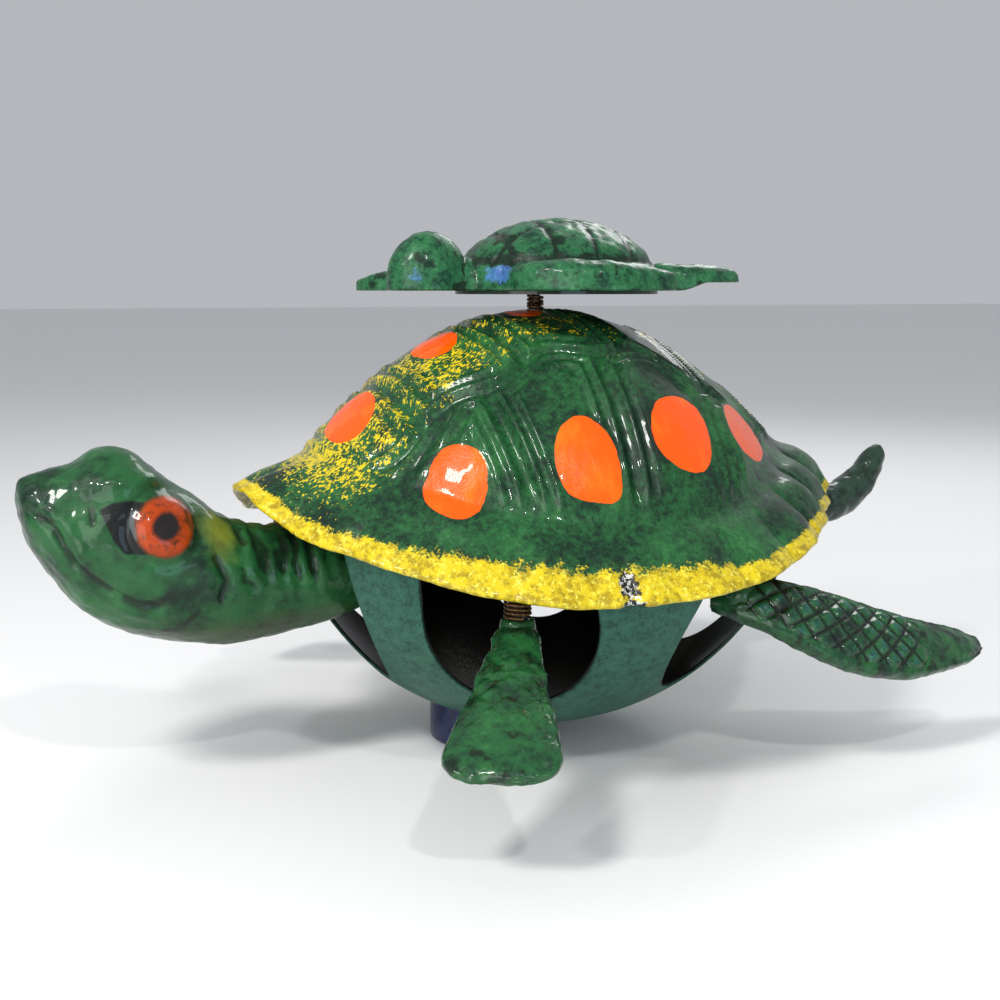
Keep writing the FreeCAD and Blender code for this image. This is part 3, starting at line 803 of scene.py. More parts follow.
EYE_RING, PUPIL = 9.0, 4.1
BROW, BROW_SIZE = (148, 105), (13, 3.6)
NOSTRIL, NOSTRIL_SIZE = (160.2, 95.4), (1.3, 2.4)
BLUSH, BLUSH_SIZE = (121, 88), (6, 9)
WRINKLE_PITCH = 6.1
EYE_PATCH = (
    (158, 97.5), (154, 99.5), (147.5, 100.2), (143, 98.5), (139, 95), (137, 88), (139, 83.5), (146, 83.2),
    (151.5, 83.6), (154.5, 88),
)
SLIVER = ((148.2, 96.5), (148.9, 92.5), (147.6, 88.5))
MOUTH = (
    (177.5, 97), (174.5, 94.8), (171, 92), (168.6, 86.5), (166, 81), (161, 76), (155, 71.5), (148, 67.5),
    (141, 65.5),
)
DARK_STROKES = (  # (half width, points in (f, z))
    (1.6, ((175.5, 95.6), (172, 94.2))),
    (1.3, ((171, 92), (169, 87), (166.4, 81.8))),
    (1.4, ((163.6, 79.5), (160, 75.4), (156, 72))),
    (1.9, ((151, 69), (145.5, 66), (141.5, 67), (138, 69.5))),
    (1.2, ((139.5, 56.5), (134.3, 58), (130, 62.8))),
    (1.3, ((160.2, 97.3), (160.3, 93.4))),
    (1.3, ((116, 89), (114, 83))),
    (1.7, ((109.8, 86), (107, 80.3), (107.2, 74.8))),
    (1.4, ((101, 84), (99.8, 79), (101, 74))),
    (1.6, ((92, 80), (90.4, 73))),
    (1.5, ((124, 80), (121, 72), (123, 66))),
)
NECK_STROKES = DARK_STROKES[6:]  # these are creases in the metal too


def head_object():
    """The head and neck, with more rings towards the nose."""
    ease = np.linspace(0, 1, HEAD_ROWS)
    outline = smooth_line(HEAD_OUTLINE, HEAD_ROWS, spacing=1 - (1 - ease) ** 1.25)
    f, top, low, half = outline.T[..., None]
    turn = np.linspace(0, 2 * math.pi, HEAD_COLUMNS, endpoint=False)
    up, across = np.cos(turn), np.sin(turn)
    cheek = 1 - 0.16 * step(up, 0.1, 1.0) * step(f, 112, 135)
    w = half * np.sign(across) * np.abs(across) ** 0.82 * cheek
    z = (top + low) / 2 + (top - low) / 2 * np.sign(up) * np.abs(up) ** 0.94
    f = np.broadcast_to(f, w.shape)
    base = place(f, w, z)
    side = step(np.abs(w), 4, 11)
    to_eye = np.hypot(f - EYE[0], z - EYE[1])
    mouth = near_path(f, z, MOUTH)
    relief = 1.7 * step(-to_eye, -13, -4) - 0.9 * bell(to_eye, 11.5, 2.2)
    relief += 1.9 * mound(f, z, BROW, BROW_SIZE)
    relief -= 1.0 * bell(mouth, 0, 1.2) - 0.5 * bell(mouth, 3.6, 1.8)
    relief -= 0.7 * mound(f, z, NOSTRIL, NOSTRIL_SIZE)
    relief *= side
    for half_width, path in NECK_STROKES:
        relief -= 0.9 * bell(near_path(f, z, path), 0, half_width) * side
    wander = 1.5 * np.sin(z / 7) + 2.4 * lumps(base, 16, 2, 61.0)
    wrinkle = np.sin(f / WRINKLE_PITCH * 2 * math.pi + wander) * (1 - step(f, 112, 122)) * step(z, 60, 76)
    relief += wrinkle * 0.35 + lumps(base, 12, 3, 21.0) * 0.55 + lumps(base, 3.5, 2, 4.0) * 0.16
    skin = base + outward_normals(base) * (relief * step(f, 66, 72))[..., None] * MM
    skin[..., 1] -= HEAD_REACH * step(f, 112, 142) * MM

    drawn = [bell(near_path(f, z, path), 0, half_width * 1.15) for half_width, path in DARK_STROKES]
    # Painted shade: dark blots on the lower part of the head and neck, and dark between the neck's
    # wrinkles.
    painted_shade = np.clip(lumps(base, 14, 3, 31.0) - 0.25, 0, 1) * 0.9 * step(-z, -82, -60)
    creases = np.clip(-wrinkle * 1.2 + lumps(base, 7, 3, 51.0) * 1.6, 0, 1) * step(z, 62, 72)
    painted_shade = np.maximum(painted_shade, creases * (1 - step(f, 114, 122)))
    marks = {
        "ring": (EYE_RING - to_eye) / EYE_RING * side - (1 - side),
        "pupil": (PUPIL - to_eye) / EYE_RING * side - (1 - side),
        "patch": within(f, z, EYE_PATCH) / EYE_RING * side - (1 - side),
        "sliver": bell(near_path(f, z, SLIVER), 0, 0.9) * side,
        "strokes_and_shade": np.max([*drawn, painted_shade], axis=0) * side,
        "blush": mound(f, z, BLUSH, BLUSH_SIZE) * side,
        "chin": step(-z, -68, -52) * (f < 160),
    }
    return closed_skin("head", skin, marks)


# ---------------------------------------------------------------- flippers and tail

FRONT_FLIPPER = (  # (out from the spring, z, half width, half thickness)
    (-8, 57, 3.5, 3.2),
    (0, 56.5, 6.5, 5.5),
    (12, 54, 8, 5.2),
    (26, 49, 10.5, 4.8),
    (40, 43, 13.5, 4.6),
    (51, 38, 16.2, 4.2),
    (57.5, 35.3, 16.6, 3.6),
    (61.5, 33.8, 13.5, 2.6),
    (63.3, 33, 6.0, 1.2),
)
REAR_FLIPPER = (  # (f, w, z, half width, half thickness)
    (-35, 66.5, 60, 3.5, 3.2),
    (-42, 72.7, 60.3, 7, 5.2),
    (-54, 80, 57.5, 10.5, 5.2),
    (-68, 85, 51.5, 13.5, 5),
    (-86, 88, 45, 14, 4.8),
    (-104, 89, 41, 11.5, 4.4),
    (-120, 88, 39, 8.5, 3.6),
    (-132, 86.5, 37.5, 5.5, 2.6),
    (-138.5, 85.5, 37.3, 2.0, 1.0),
)
FRONT_GRID, REAR_GRID, TAIL_GRID = (150, 96), (190, 104), (130, 72)  # rings, points in a ring
FRONT_SCALES, REAR_SCALES = (14, 44), (6, 74)  # where along a flipper its scales start and end
FRONT_SCALE_DEPTH = 0.4  # as a share of the rear flippers' scales
FRONT_SEED, REAR_SEED = 41.0, 57.0
REAR_TILT = 48.0
PAD_SIDE = ((4.9, 0), (5.4, 0.5), (5.8, 3), (6.3, 6), (0.4, 7))  # (radius, depth below the spring)
PAD_COLUMNS = 48
PAD_GROOVE = 0.3  # how dark the pads are
TAIL = (  # (f, z, radius)
    (-95, 79, 4.6),
    (-104, 78.5, 6.6),
    (-118, 77, 6.8),
    (-130, 76.5, 7.4),
    (-141, 78.5, 7.6),
    (-150.5, 84, 6.9),
    (-157, 91, 5.6),
    (-161, 97.5, 3.8),
    (-162, 100.4, 1.2),
)


def limb_grid(centres, across, half_width, half_height, columns, squareness=0.9):
    """Rings about a line of centres, and how far across and up each point lies, from -1 to 1."""
    along = np.gradient(centres, axis=0)
    along /= np.linalg.norm(along, axis=1, keepdims=True)
    across = across - (across * along).sum(1, keepdims=True) * along
    across /= np.linalg.norm(across, axis=1, keepdims=True)
    up = np.cross(across, along)
    up *= np.where(up[:, 2:] < 0, -1, 1)
    turn = np.linspace(0, 2 * math.pi, columns, endpoint=False)
    c, s = np.cos(turn), np.sin(turn)
    c, s = (np.sign(v) * np.abs(v) ** squareness for v in (c, s))
    wide = across[:, None, :] * (half_width[:, None] * c)[..., None]
    high = up[:, None, :] * (half_height[:, None] * s)[..., None]
    grid = centres[:, None, :] + wide + high
    return grid * MM, np.broadcast_to(c, grid.shape[:2]), np.broadcast_to(s, grid.shape[:2])


def scales(along, across, pitch):
    """Raised diamonds: 1 in the middle of each scale, 0 in the grooves between them."""
    a = np.abs(np.sin(math.pi * (along / pitch + across / pitch)))
    b = np.abs(np.sin(math.pi * (along / pitch - across / pitch)))
    return np.clip(np.minimum(a, b) * 1.25, 0, 1) ** 0.8


def flipper_object(name, grid, cross, over, lengths, sizes, reach, depth, seed):
    """A flipper's skin with its rounded rim, and scales of a depth between two lengths along it."""
    pitch, height = sizes.scale_pitch / MM, sizes.scale_height / MM
    half = np.linalg.norm(grid - grid.mean(axis=1, keepdims=True), axis=2).max(axis=1, keepdims=True) / MM
    lateral = cross * half
    travel = lengths[:, None]
    face = step(np.abs(over), 0.25, 0.5) * (1 - step(np.abs(cross), 0.72, 0.86))
    scaly = face * (1 - step(travel, reach[1], reach[1] + 10)) * step(travel, reach[0], reach[0] + 8)
    bumps = scales(travel, lateral, pitch)
    relief = (bumps - 0.45) * height * scaly * depth
    relief += 0.5 * bell(np.abs(cross), 0.93, 0.07) + lumps(grid, 6, 3, seed) * 0.4
    relief += lumps(grid, 9, 2, seed + 5) * 1.3 * step(np.abs(cross), 0.5, 0.9) * (1 - depth)
    groove = (1 - bumps) ** 0.9 * scaly
    seam = bell(np.abs(cross), 0.80, 0.05) * step(np.abs(over), 0.2, 0.4) * 0.6
    skin = grid + outward_normals(grid) * relief[..., None] * MM
    # The scale mark is where a painted bluish highlight lies on the scales' tops.
    marks = {"groove": np.maximum(groove, seam * scaly) * depth, "scale": bumps**2 * scaly * depth}
    return closed_skin(name, skin, marks)


def spring_pad(limb):
    """The low round pad that a limb's spring stands on, sunk a little where the pin goes in."""
    spring, pin = limb + "_spring", limb + "_pin"
    x, y, _ = node_middle(spring)
    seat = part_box(spring)[0][2] / MM
    hole = (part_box(pin)[1][0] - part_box(pin)[0][0]) / 2 / MM
    radius, drop = np.array([(0.2, 0.4), (hole, 0.4), (hole, 0), *PAD_SIDE]).T[..., None]
    turn = np.linspace(0, 2 * math.pi, PAD_COLUMNS, endpoint=False)
    grid = np.broadcast_arrays(x + radius * np.cos(turn), y + radius * np.sin(turn), seat - drop)
    return closed_skin("pad", np.stack(grid, -1) * MM, {"groove": PAD_GROOVE})


def with_pad(limb, skin):
    """A limb and its spring's pad as one object."""
    return joined(limb, skin, spring_pad(limb))


def front_flipper(side, sizes):
    """A paddle that hangs straight out from its spring."""
    name = side + "_front_flipper"
    x, y, _ = node_middle(name + "_spring")
    sign = 1 if x > 0 else -1
    out = np.array([x, y - AXIS_Y])
    out /= np.linalg.norm(out)
    d, z, half_width, half_height = smooth_line(FRONT_FLIPPER, FRONT_GRID[0]).T
    centres = np.stack([x + out[0] * d, y + out[1] * d, z], axis=1)
    across = np.tile([-out[1] * sign, out[0] * sign, 0.0], (len(d), 1))
    rings = limb_grid(centres, across, half_width, half_height, FRONT_GRID[1])
    look = (FRONT_SCALES, FRONT_SCALE_DEPTH, FRONT_SEED)
    return with_pad(name, flipper_object(name, *rings, d, sizes, *look))


def rear_flipper(side, sizes):
    """A long tilted paddle that trails back from its spring."""
    name = side + "_rear_flipper"
    sign = 1 if side == "left" else -1
    f, w, z, half_width, half_height = smooth_line(REAR_FLIPPER, REAR_GRID[0]).T
    centres = place(f, w * sign, z) / MM
    along = np.gradient(centres, axis=0)
    along /= np.linalg.norm(along, axis=1, keepdims=True)
    upright = np.array([0, 0, 1.0])
    level = np.cross(along, upright)
    level *= np.sign(level[:, :1]) * sign
    level /= np.linalg.norm(level, axis=1, keepdims=True)
    tilt = math.radians(REAR_TILT)
    across = level * math.cos(tilt) - upright * math.sin(tilt)
    rings = limb_grid(centres, across, half_width, half_height, REAR_GRID[1])
    lengths = np.concatenate([[0], np.cumsum(np.linalg.norm(np.diff(centres, axis=0), axis=1))])
    return with_pad(name, flipper_object(name, *rings, lengths, sizes, REAR_SCALES, 1.0, REAR_SEED))


def tail_object():
    """The tail, faintly ringed and dark in its hollows."""
    f, z, radius = smooth_line(TAIL, TAIL_GRID[0]).T
    centres = place(f, 0 * f, z) / MM
    across = np.tile([1.0, 0, 0], (len(f), 1))
    grid, _, _ = limb_grid(centres, across, radius, radius, TAIL_GRID[1], 1.0)
    rings = np.sin(np.linspace(0, 60, len(f)))[:, None] * 0.12
    relief = lumps(grid, 6, 3, 71.0) * 0.45 + rings
    groove = np.clip(lumps(grid, 8, 3, 77.0) * 0.8 + 0.42, 0, 0.9)
    skin = grid + outward_normals(grid) * relief[..., None] * MM
    return with_pad("tail", closed_skin("tail", skin, {"groove": groove}))


# ---------------------------------------------------------------- baby turtle

BABY_DOME = (-9.0, 40.0, 33.0, 26.0)  # middle, half length, half width, height
BABY_HEAD = (42.0, 16.0, 12.0, 20.5)
BABY_HIND_LIFT = 3.0  # how far the hind flippers' undersides rise
BABY_CELL, BABY_VOXEL = 0.9, 0.75  # spacing of the heights, and of the even mesh made from them
BABY_SCUTE_SEAMS = (16, 2, -13, -28, -42)
BABY_BASE = BABY_FLOOR + 1.2  # the casting's flat bottom, on its plate
BORDER_PASSES = 14
OFF_PIECE = -4.0  # the height given to points that a shape doesn't cover
EDGE_HEIGHT = 0.4  # the least height of the casting's top, and what counts as inside its outline
BABY_FLIPPERS = (  # centre line in (f, w), half widths, height at the middle
    (((16, 20), (15, 31), (6, 40), (-13, 45), (-29, 44.5)), (7, 8.5, 9, 7.5, 4), 10.5),
    (((24, -14), (36, -25), (46, -36), (52, -43)), (8, 7.5, 6, 3), 8),
    (((-36, 14), (-46, 22), (-58, 24), (-67, 23)), (8, 7.5, 7, 6), 10),
    (((-36, -14), (-46, -22), (-58, -24), (-67, -23)), (8, 7.5, 7, 6), 10),
    (((-44, 0), (-52, 0), (-58, 0)), (6, 4, 1.5), 7),
    (((22, 0), (30, 0), (38, 0)), (11, 10, 10), 13),
)


def height_of_blob(f, w, middle, half_length, half_width, height):
    """The height of a rounded lump that stands on the middle line."""
    inside = 1 - ((f - middle) / half_length) ** 2 - (w / half_width) ** 2
    return height * np.sqrt(np.clip(inside, 0, 1)) + OFF_PIECE * (inside < 0)


def height_of_limb(f, w, path, half_widths, height):
    """The height of a rounded limb that lies flat along a line."""
    line = smooth_line([(a, b, 0, c) for (a, b), c in zip(path, half_widths)], 60)
    best = np.full(f.shape, OFF_PIECE)
    for a, b, _, half in line:
        inside = 1 - ((f - a) ** 2 + (w - b) ** 2) / half**2
        rise = height * (half / max(half_widths)) ** 0.6 * np.sqrt(np.clip(inside, 0, 1)) ** 0.8
        best = np.maximum(best, np.where(inside > 0, rise, OFF_PIECE))
    return best


def merged(a, b, soft):
    """The higher of two heights, with a rounded join."""
    h = np.clip(0.5 + (a - b) / (2 * soft), 0, 1)
    return b + (a - b) * h + soft * h * (1 - h)


def baby_heights():
    """A grid of places, and the heights over it of the baby's dome, head, limbs and whole."""
    fs, ws = np.arange(-92, 72, BABY_CELL), np.arange(-54, 54, BABY_CELL)
    f, w = np.meshgrid(fs, ws, indexing="ij")
    dome = height_of_blob(f, w, *BABY_DOME)
    head = height_of_blob(f, w, *BABY_HEAD)
    limbs = np.max([height_of_limb(f, w, *flipper) for flipper in BABY_FLIPPERS], axis=0)
    rim = 1 - np.hypot((f - BABY_DOME[0]) / BABY_DOME[1], w / BABY_DOME[2])
    brim = np.where(rim > 0, 7.5 + 3 * step(rim, 0, 0.12), OFF_PIECE)
    solid = merged(merged(merged(dome, brim, 1.0), head, 1.2), limbs, 1.0)
    return f, w, dome, head, limbs, rim, solid


def baby_object():
    """A flat-bottomed casting, remeshed so that its sides are as fine as its top."""
    f, w, dome, head, limbs, rim, solid = baby_heights()
    seam = np.min([np.abs(f - s - 0.1 * np.abs(w)) for s in BABY_SCUTE_SEAMS], axis=0)
    row = np.abs(np.abs(w) - 12 + 2 * np.cos(f / 7))
    on_shell = (dome > 9) & (dome > head) & (dome > limbs)
    groove = np.maximum(bell(seam, 0, 1.1), bell(row, 0, 1.1)) * on_shell
    brim_line = bell(rim, 0.10, 0.035) * (dome > limbs - 1)
    under_dome = bell(dome - limbs, 0, 1.3) * (limbs > 1)
    parting = np.maximum(under_dome, bell(head - np.maximum(dome, limbs), 0, 1.3) * (head > 1))
    mottle = lumps(place(f, w, BABY_BASE + np.maximum(solid, 0)), 4, 3, 13.0)
    height = solid - 0.9 * groove - 1.1 * brim_line - 0.9 * parting + mottle * 0.5 * (solid > 1)
    lines = np.max([groove, brim_line, parting], axis=0)
    casting = flat_casting(f, w, height, solid > EDGE_HEIGHT)
    even = casting.modifiers.new("even", "REMESH")
    even.mode, even.voxel_size = "VOXEL", BABY_VOXEL * MM
    baked(casting)
    at = mesh_points(casting.data)
    forward, side, rise = AXIS_Y - at[:, 1] / MM, at[:, 0] / MM, at[:, 2] / MM - BABY_FLOOR
    row = np.clip(np.rint((forward - f[0, 0]) / BABY_CELL).astype(int), 0, f.shape[0] - 1)
    column = np.clip(np.rint((side - w[0, 0]) / BABY_CELL).astype(int), 0, f.shape[1] - 1)
    blots = np.clip(lumps(at, 8, 4, 19.0) * 1.5 - 0.2, 0, 0.8)
    # The blue mark: a blue paint patch on the shoulder, and a painted bluish highlight on the cheek.
    on_shoulder = np.exp(-(((forward - 24) / 6) ** 4) - ((side - 20) / 7) ** 4 - ((rise - 7) / 4) ** 4)
    cheek_highlight = mound(forward, side, (50, 9), (4, 4)) * bell(rise, 6, 4) * 0.8
    groove = np.clip(lines[row, column] + blots, 0, 1)
    add_marks(casting.data, {"groove": groove, "blue": np.maximum(on_shoulder, cheek_highlight)})
    return casting


def flat_casting(f, w, height, keep):
    """A closed solid from heights over the kept cells of a grid, standing on the baby's plate."""
    cells = keep[:-1, :-1] & keep[1:, :-1] & keep[:-1, 1:] & keep[1:, 1:]
    cells_round = np.zeros(f.shape, int)
    for a, b in ((0, 0), (1, 0), (0, 1), (1, 1)):
        cells_round[a : a + cells.shape[0], b : b + cells.shape[1]] += cells
    used = cells_round > 0
    total = int(used.sum())
    number = -np.ones(f.shape, int)
    number[used] = np.arange(total)
    border = used & (cells_round < 4)
    flat = relaxed_border(f, w, border)
    rise = np.maximum(height, EDGE_HEIGHT)
    rise[border] = np.minimum(rise[border], 1.4)
    lift = BABY_HIND_LIFT * step(-f[used], 44, 56)
    top = place(flat[0][used], flat[1][used], BABY_BASE + np.maximum(rise[used], lift + 0.6))
    bottom = place(flat[0][used], flat[1][used], BABY_BASE + lift)
    faces, walls = [], {}
    for i, j in zip(*np.nonzero(cells)):
        ring = [number[i, j], number[i + 1, j], number[i + 1, j + 1], number[i, j + 1]]
        faces.append(tuple(ring))
        faces.append(tuple(v + total for v in reversed(ring)))
        for a, b in zip(ring, ring[1:] + ring[:1]):
            walls[(a, b)] = walls.get((a, b), 0) + 1
    for a, b in walls:
        if (b, a) not in walls:
            faces.append((b, a, a + total, b + total))
    return mesh_object("baby_turtle", np.vstack([top, bottom]), faces)


def relaxed_border(f, w, border):
    """Draws the stepped outline of a grid into a smooth one."""
    flat = np.stack([f, w])
    neighbours = [(i, j) for i in (-1, 0, 1) for j in (-1, 0, 1) if (i, j) != (0, 0)]
    for _ in range(BORDER_PASSES):
        total, count = np.zeros_like(flat), np.zeros(f.shape)
        for move in neighbours:
            other = np.roll(border, move, (0, 1))
            total += np.where(other, np.roll(flat, move, (1, 2)), 0)
            count += other
        mean = total / np.maximum(count, 1)
        flat = np.where(border & (count > 1), flat * 0.5 + mean * 0.5, flat)
    return flat


# ---------------------------------------------------------------- cradle

CRADLE_RADIUS = 99.0
CRADLE_WALL = 1.5
WINDOW_LOW = 27.0
WINDOWS = (  # (angle from straight ahead, half width, height of the round lower end)
    (0, 39, 58),
    (58.5, 28.25, 33),
    (118, 28.5, 33),
    (180, 28.5, 33),
    (242, 28.5, 33),
    (301.5, 28.25, 33),
    (360, 39, 58),
)
LEAF_UNDER_SHELL = 2.2  # how far below the shell's outside the leaves end
LEAF_TOP_GUESS = 88.0
LEAF_REACH = 25.0  # height of a leaf above its windows' straight sides, before it is fitted to the shell
LEAF_COLUMNS, PAN_ROWS, ARCH_ROWS, TOP_ROWS = 30, 26, 30, 14
RIM_SAMPLES = 720
EDGE_ROUNDING = 0.45
WELD_DISTANCE = 0.02


def cradle_radius(z):
    """How far from its upright axis the cradle's outside is at a height."""
    return np.sqrt(np.maximum(CRADLE_RADIUS**2 - (z - CRADLE_LOW - CRADLE_RADIUS) ** 2, 0))


def leaf_top(angle, rim):
    """The height at which the cradle's outside meets the shell's underside, found from a first guess."""
    rim_angle = np.arctan2(rim[:, 1], rim[:, 0])
    order = np.argsort(rim_angle)
    turns = np.mod(angle + math.pi, 2 * math.pi) - math.pi
    f, w, z_rim = (np.interp(turns, rim_angle[order], axis, period=2 * math.pi) for axis in rim[order].T)
    z = np.full(angle.shape, LEAF_TOP_GUESS)
    for _ in range(12):
        share = cradle_radius(z) / np.hypot(f, w)
        z = 0.5 * z + 0.5 * (shell_height(f * share, w * share, z_rim, share) - LEAF_UNDER_SHELL)
    return z


def cradle_object():
    """The bowl: six sectors, each a share of the pan and one leaf between two windows."""
    rim = rim_line(RIM_SAMPLES)
    polar_low = math.acos(1 - (WINDOW_LOW - CRADLE_LOW) / CRADLE_RADIUS)
    arch_top = WINDOW_LOW + WINDOWS[1][2]
    polar = np.linspace(0.02, 1, PAN_ROWS) * polar_low
    pan = CRADLE_LOW + CRADLE_RADIUS * (1 - np.cos(polar))
    arch = arch_top - (arch_top - WINDOW_LOW) * np.cos(np.linspace(0, math.pi / 2, ARCH_ROWS + 1)[1:])
    from_end = np.minimum(np.arange(LEAF_COLUMNS), np.arange(LEAF_COLUMNS)[::-1])
    at_ends = bell(from_end, 0, 1.2)
    vertices, faces, wear = [], [], []
    for windows in zip(WINDOWS[:-1], WINDOWS[1:]):
        rows = [(leaf_angles(windows, z), np.full(LEAF_COLUMNS, z)) for z in (*pan, *arch)]
        for t in np.linspace(0, 1, TOP_ROWS + 1)[1:]:
            z = arch_top + t * LEAF_REACH
            angles = leaf_angles(windows, z)
            rows.append((angles, z + (leaf_top(angles, rim) - arch_top - LEAF_REACH) * t))
        first = len(vertices)
        for angles, heights in rows:
            radius = cradle_radius(heights)
            vertices.extend(place(radius * np.cos(angles), radius * np.sin(angles), heights))
            wear.extend(np.where(heights > WINDOW_LOW + 2, 0.75, 0.0) * at_ends)
        for row in range(first, first + (len(rows) - 1) * LEAF_COLUMNS, LEAF_COLUMNS):
            for a in range(row, row + LEAF_COLUMNS - 1):
                faces.append((a, a + 1, a + LEAF_COLUMNS + 1, a + LEAF_COLUMNS))
    return thickened(mesh_object("cradle", vertices, faces, {"wear": wear}))


def leaf_angles(windows, z):
    """One row across a leaf, between the edges of its two windows."""
    ends = []
    for angle, half, arch in windows:
        drop = min(max((WINDOW_LOW + arch - z) / arch, 0), 1)
        opening = math.asin(half * math.sqrt(1 - drop * drop) / cradle_radius(z))
        ends.append((math.radians(angle), opening))
    return np.linspace(ends[0][0] + ends[0][1], ends[1][0] - ends[1][1], LEAF_COLUMNS)


def thickened(bowl):
    """Merges the sectors, closes the pole, gives the sheet its wall and rounds its edges."""
    work = bmesh.new()
    work.from_mesh(bowl.data)
    bmesh.ops.remove_doubles(work, verts=work.verts, dist=WELD_DISTANCE * MM)
    lowest = sorted((e for e in work.edges if e.is_boundary), key=lambda e: e.verts[0].co.z)
    loop = [e for e in lowest if max(v.co.z for v in e.verts) < (CRADLE_LOW + 0.3) * MM]
    bmesh.ops.contextual_create(work, geom=loop)
    bmesh.ops.recalc_face_normals(work, faces=work.faces)
    if sum(f.normal.z * f.calc_area() for f in work.faces) > 0:
        bmesh.ops.reverse_faces(work, faces=work.faces)
    work.to_mesh(bowl.data)
    work.free()
    wall = bowl.modifiers.new("wall", "SOLIDIFY")
    wall.thickness, wall.offset = CRADLE_WALL * MM, -1.0
    wall.use_even_offset = True
    soft = bowl.modifiers.new("soft_edges", "BEVEL")
    soft.width, soft.segments, soft.limit_method = EDGE_ROUNDING * MM, 2, "ANGLE"
    soft.angle_limit = math.radians(50)
    baked(bowl)
    centre = np.array([0.0, AXIS_Y, CRADLE_LOW + CRADLE_RADIUS])
    distance = np.linalg.norm(mesh_points(bowl.data) / MM - centre, axis=1)
    add_marks(bowl.data, {"inside": distance < CRADLE_RADIUS - CRADLE_WALL * 0.6})
    return bowl


def baked(piece):
    """Makes a piece's modifiers part of its mesh."""
    mesh = bpy.data.meshes.new_from_object(piece.evaluated_get(bpy.context.evaluated_depsgraph_get()))
    piece.modifiers.clear()
    piece.data = mesh
    mesh.shade_smooth()


# ---------------------------------------------------------------- coil springs

BABY_SPRING_SPLIT = 0.64  # the baby's spring is split into two pieces here, clear of the shell's top


def coil_tree():
    """Geometry Nodes for a coil spring that stands on the origin."""
    tree = bpy.data.node_groups.new("coil_spring", "GeometryNodeTree")
    sockets = {}
    for name in ("Radius", "Wire", "Height", "Turns", "Material"):
        kind = "NodeSocketMaterial" if name == "Material" else "NodeSocketFloat"
        sockets[name] = tree.interface.new_socket(name, in_out="INPUT", socket_type=kind).identifier
    tree.interface.new_socket("Geometry", in_out="OUTPUT", socket_type="NodeSocketGeometry")

    def node(kind, **inputs):
        made = tree.nodes.new(kind)
        for key, value in inputs.items():
            socket = made.inputs[key.replace("_", " ")]
            if hasattr(value, "is_output"):
                tree.links.new(value, socket)
            else:
                socket.default_value = value
        return made

    given = tree.nodes.new("NodeGroupInput").outputs
    spiral = node(
        "GeometryNodeCurveSpiral",
        Resolution=28,
        Rotations=given["Turns"],
        Start_Radius=given["Radius"],
        End_Radius=given["Radius"],
        Height=given["Height"],
    )
    wire = node("GeometryNodeCurvePrimitiveCircle", Resolution=10, Radius=given["Wire"])
    tube = node(
        "GeometryNodeCurveToMesh",
        Curve=spiral.outputs[0],
        Profile_Curve=wire.outputs["Curve"],
        Fill_Caps=True,
    )
    smooth = node("GeometryNodeSetShadeSmooth", Geometry=tube.outputs[0])
    real = node("GeometryNodeRealizeInstances", Geometry=smooth.outputs[0])
    painted = node("GeometryNodeSetMaterial", Geometry=real.outputs[0], Material=given["Material"])
    out = tree.nodes.new("NodeGroupOutput")
    tree.links.new(painted.outputs[0], out.inputs[0])
    return tree, sockets


def coil_object(name, node, maker, sizes, part=(0.0, 1.0)):
    """The part of a spring between two shares of its height; the whole spring fills its CAD node's box."""
    tree, sockets, material = maker
    low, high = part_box(node)
    wire = sizes.spring_wire
    radius = (high[0] - low[0] - wire) / 2
    height = high[2] - low[2] - wire
    turns = height / sizes.spring_pitch
    share = part[1] - part[0]
    made = bpy.data.objects.new("coiled_" + name, bpy.data.meshes.new(name))
    bpy.context.collection.objects.link(made)
    modifier = made.modifiers.new("coil", "NODES")
    modifier.node_group = tree
    for key, value in (
        ("Radius", radius),
        ("Wire", wire / 2),
        ("Height", height * share),
        ("Turns", turns * share),
        ("Material", material),
    ):
        modifier[sockets[key]] = value
    baked(made)
    foot = ((low[0] + high[0]) / 2, (low[1] + high[1]) / 2, low[2] + wire / 2 + height * part[0])
    made.data.transform(Matrix.Translation(foot) @ Matrix.Rotation(2 * math.pi * turns * part[0], 4, "Z"))
    made.data.name = made.name
    return made


def spring_ends(node):
    """The middles of a spring's two ends, and a point between them at a share of its height."""
    low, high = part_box(node)
    x, y = (low[0] + high[0]) / 2, (low[1] + high[1]) / 2
    between = low[2] + BABY_SPRING_SPLIT * (high[2] - low[2])
    return (x, y, low[2]), (x, y, between), (x, y, high[2])


# ---------------------------------------------------------------- operators

FLOOR_HALF = 12  # metres
CAMERA_PLACE = (0.443, (AXIS_Y - 221) * MM, 0.165)
CAMERA_HEADING = (-0.906, 0.423, 0)
CAMERA_LENS, CAMERA_PITCH = 48.3, 8.9
SKY, SKY_STRENGTH = (0.92, 0.95, 1.0, 1.0), 0.5
LIGHTS_AIM = (0.0, AXIS_Y * MM, 0.09)
LIGHTS = (  # name, place, size, power, tint
    ("key", (0.45, -0.75, 1.05), 0.22, 9.0, (1.0, 0.98, 0.95)),
    ("glint", (0.75, -0.10, 0.80), 0.05, 2.0, (1.0, 1.0, 1.0)),
    ("glint_front", (0.25, -0.85, 0.60), 0.05, 1.6, (1.0, 1.0, 1.0)),
    ("sky_fill", (0.95, 0.10, 0.12), 0.35, 1.2, (0.55, 0.74, 1.0)),
    ("front_fill", (0.95, -0.95, 0.35), 0.8, 7.0, (1.0, 1.0, 1.0)),
    ("back", (-0.55, 0.65, 0.80), 0.4, 3.0, (1.0, 1.0, 1.0)),
)


def settings(context):
    """The sizes and colours that the panel shows."""
    return context.scene.turtle_sizes, context.scene.turtle_colours


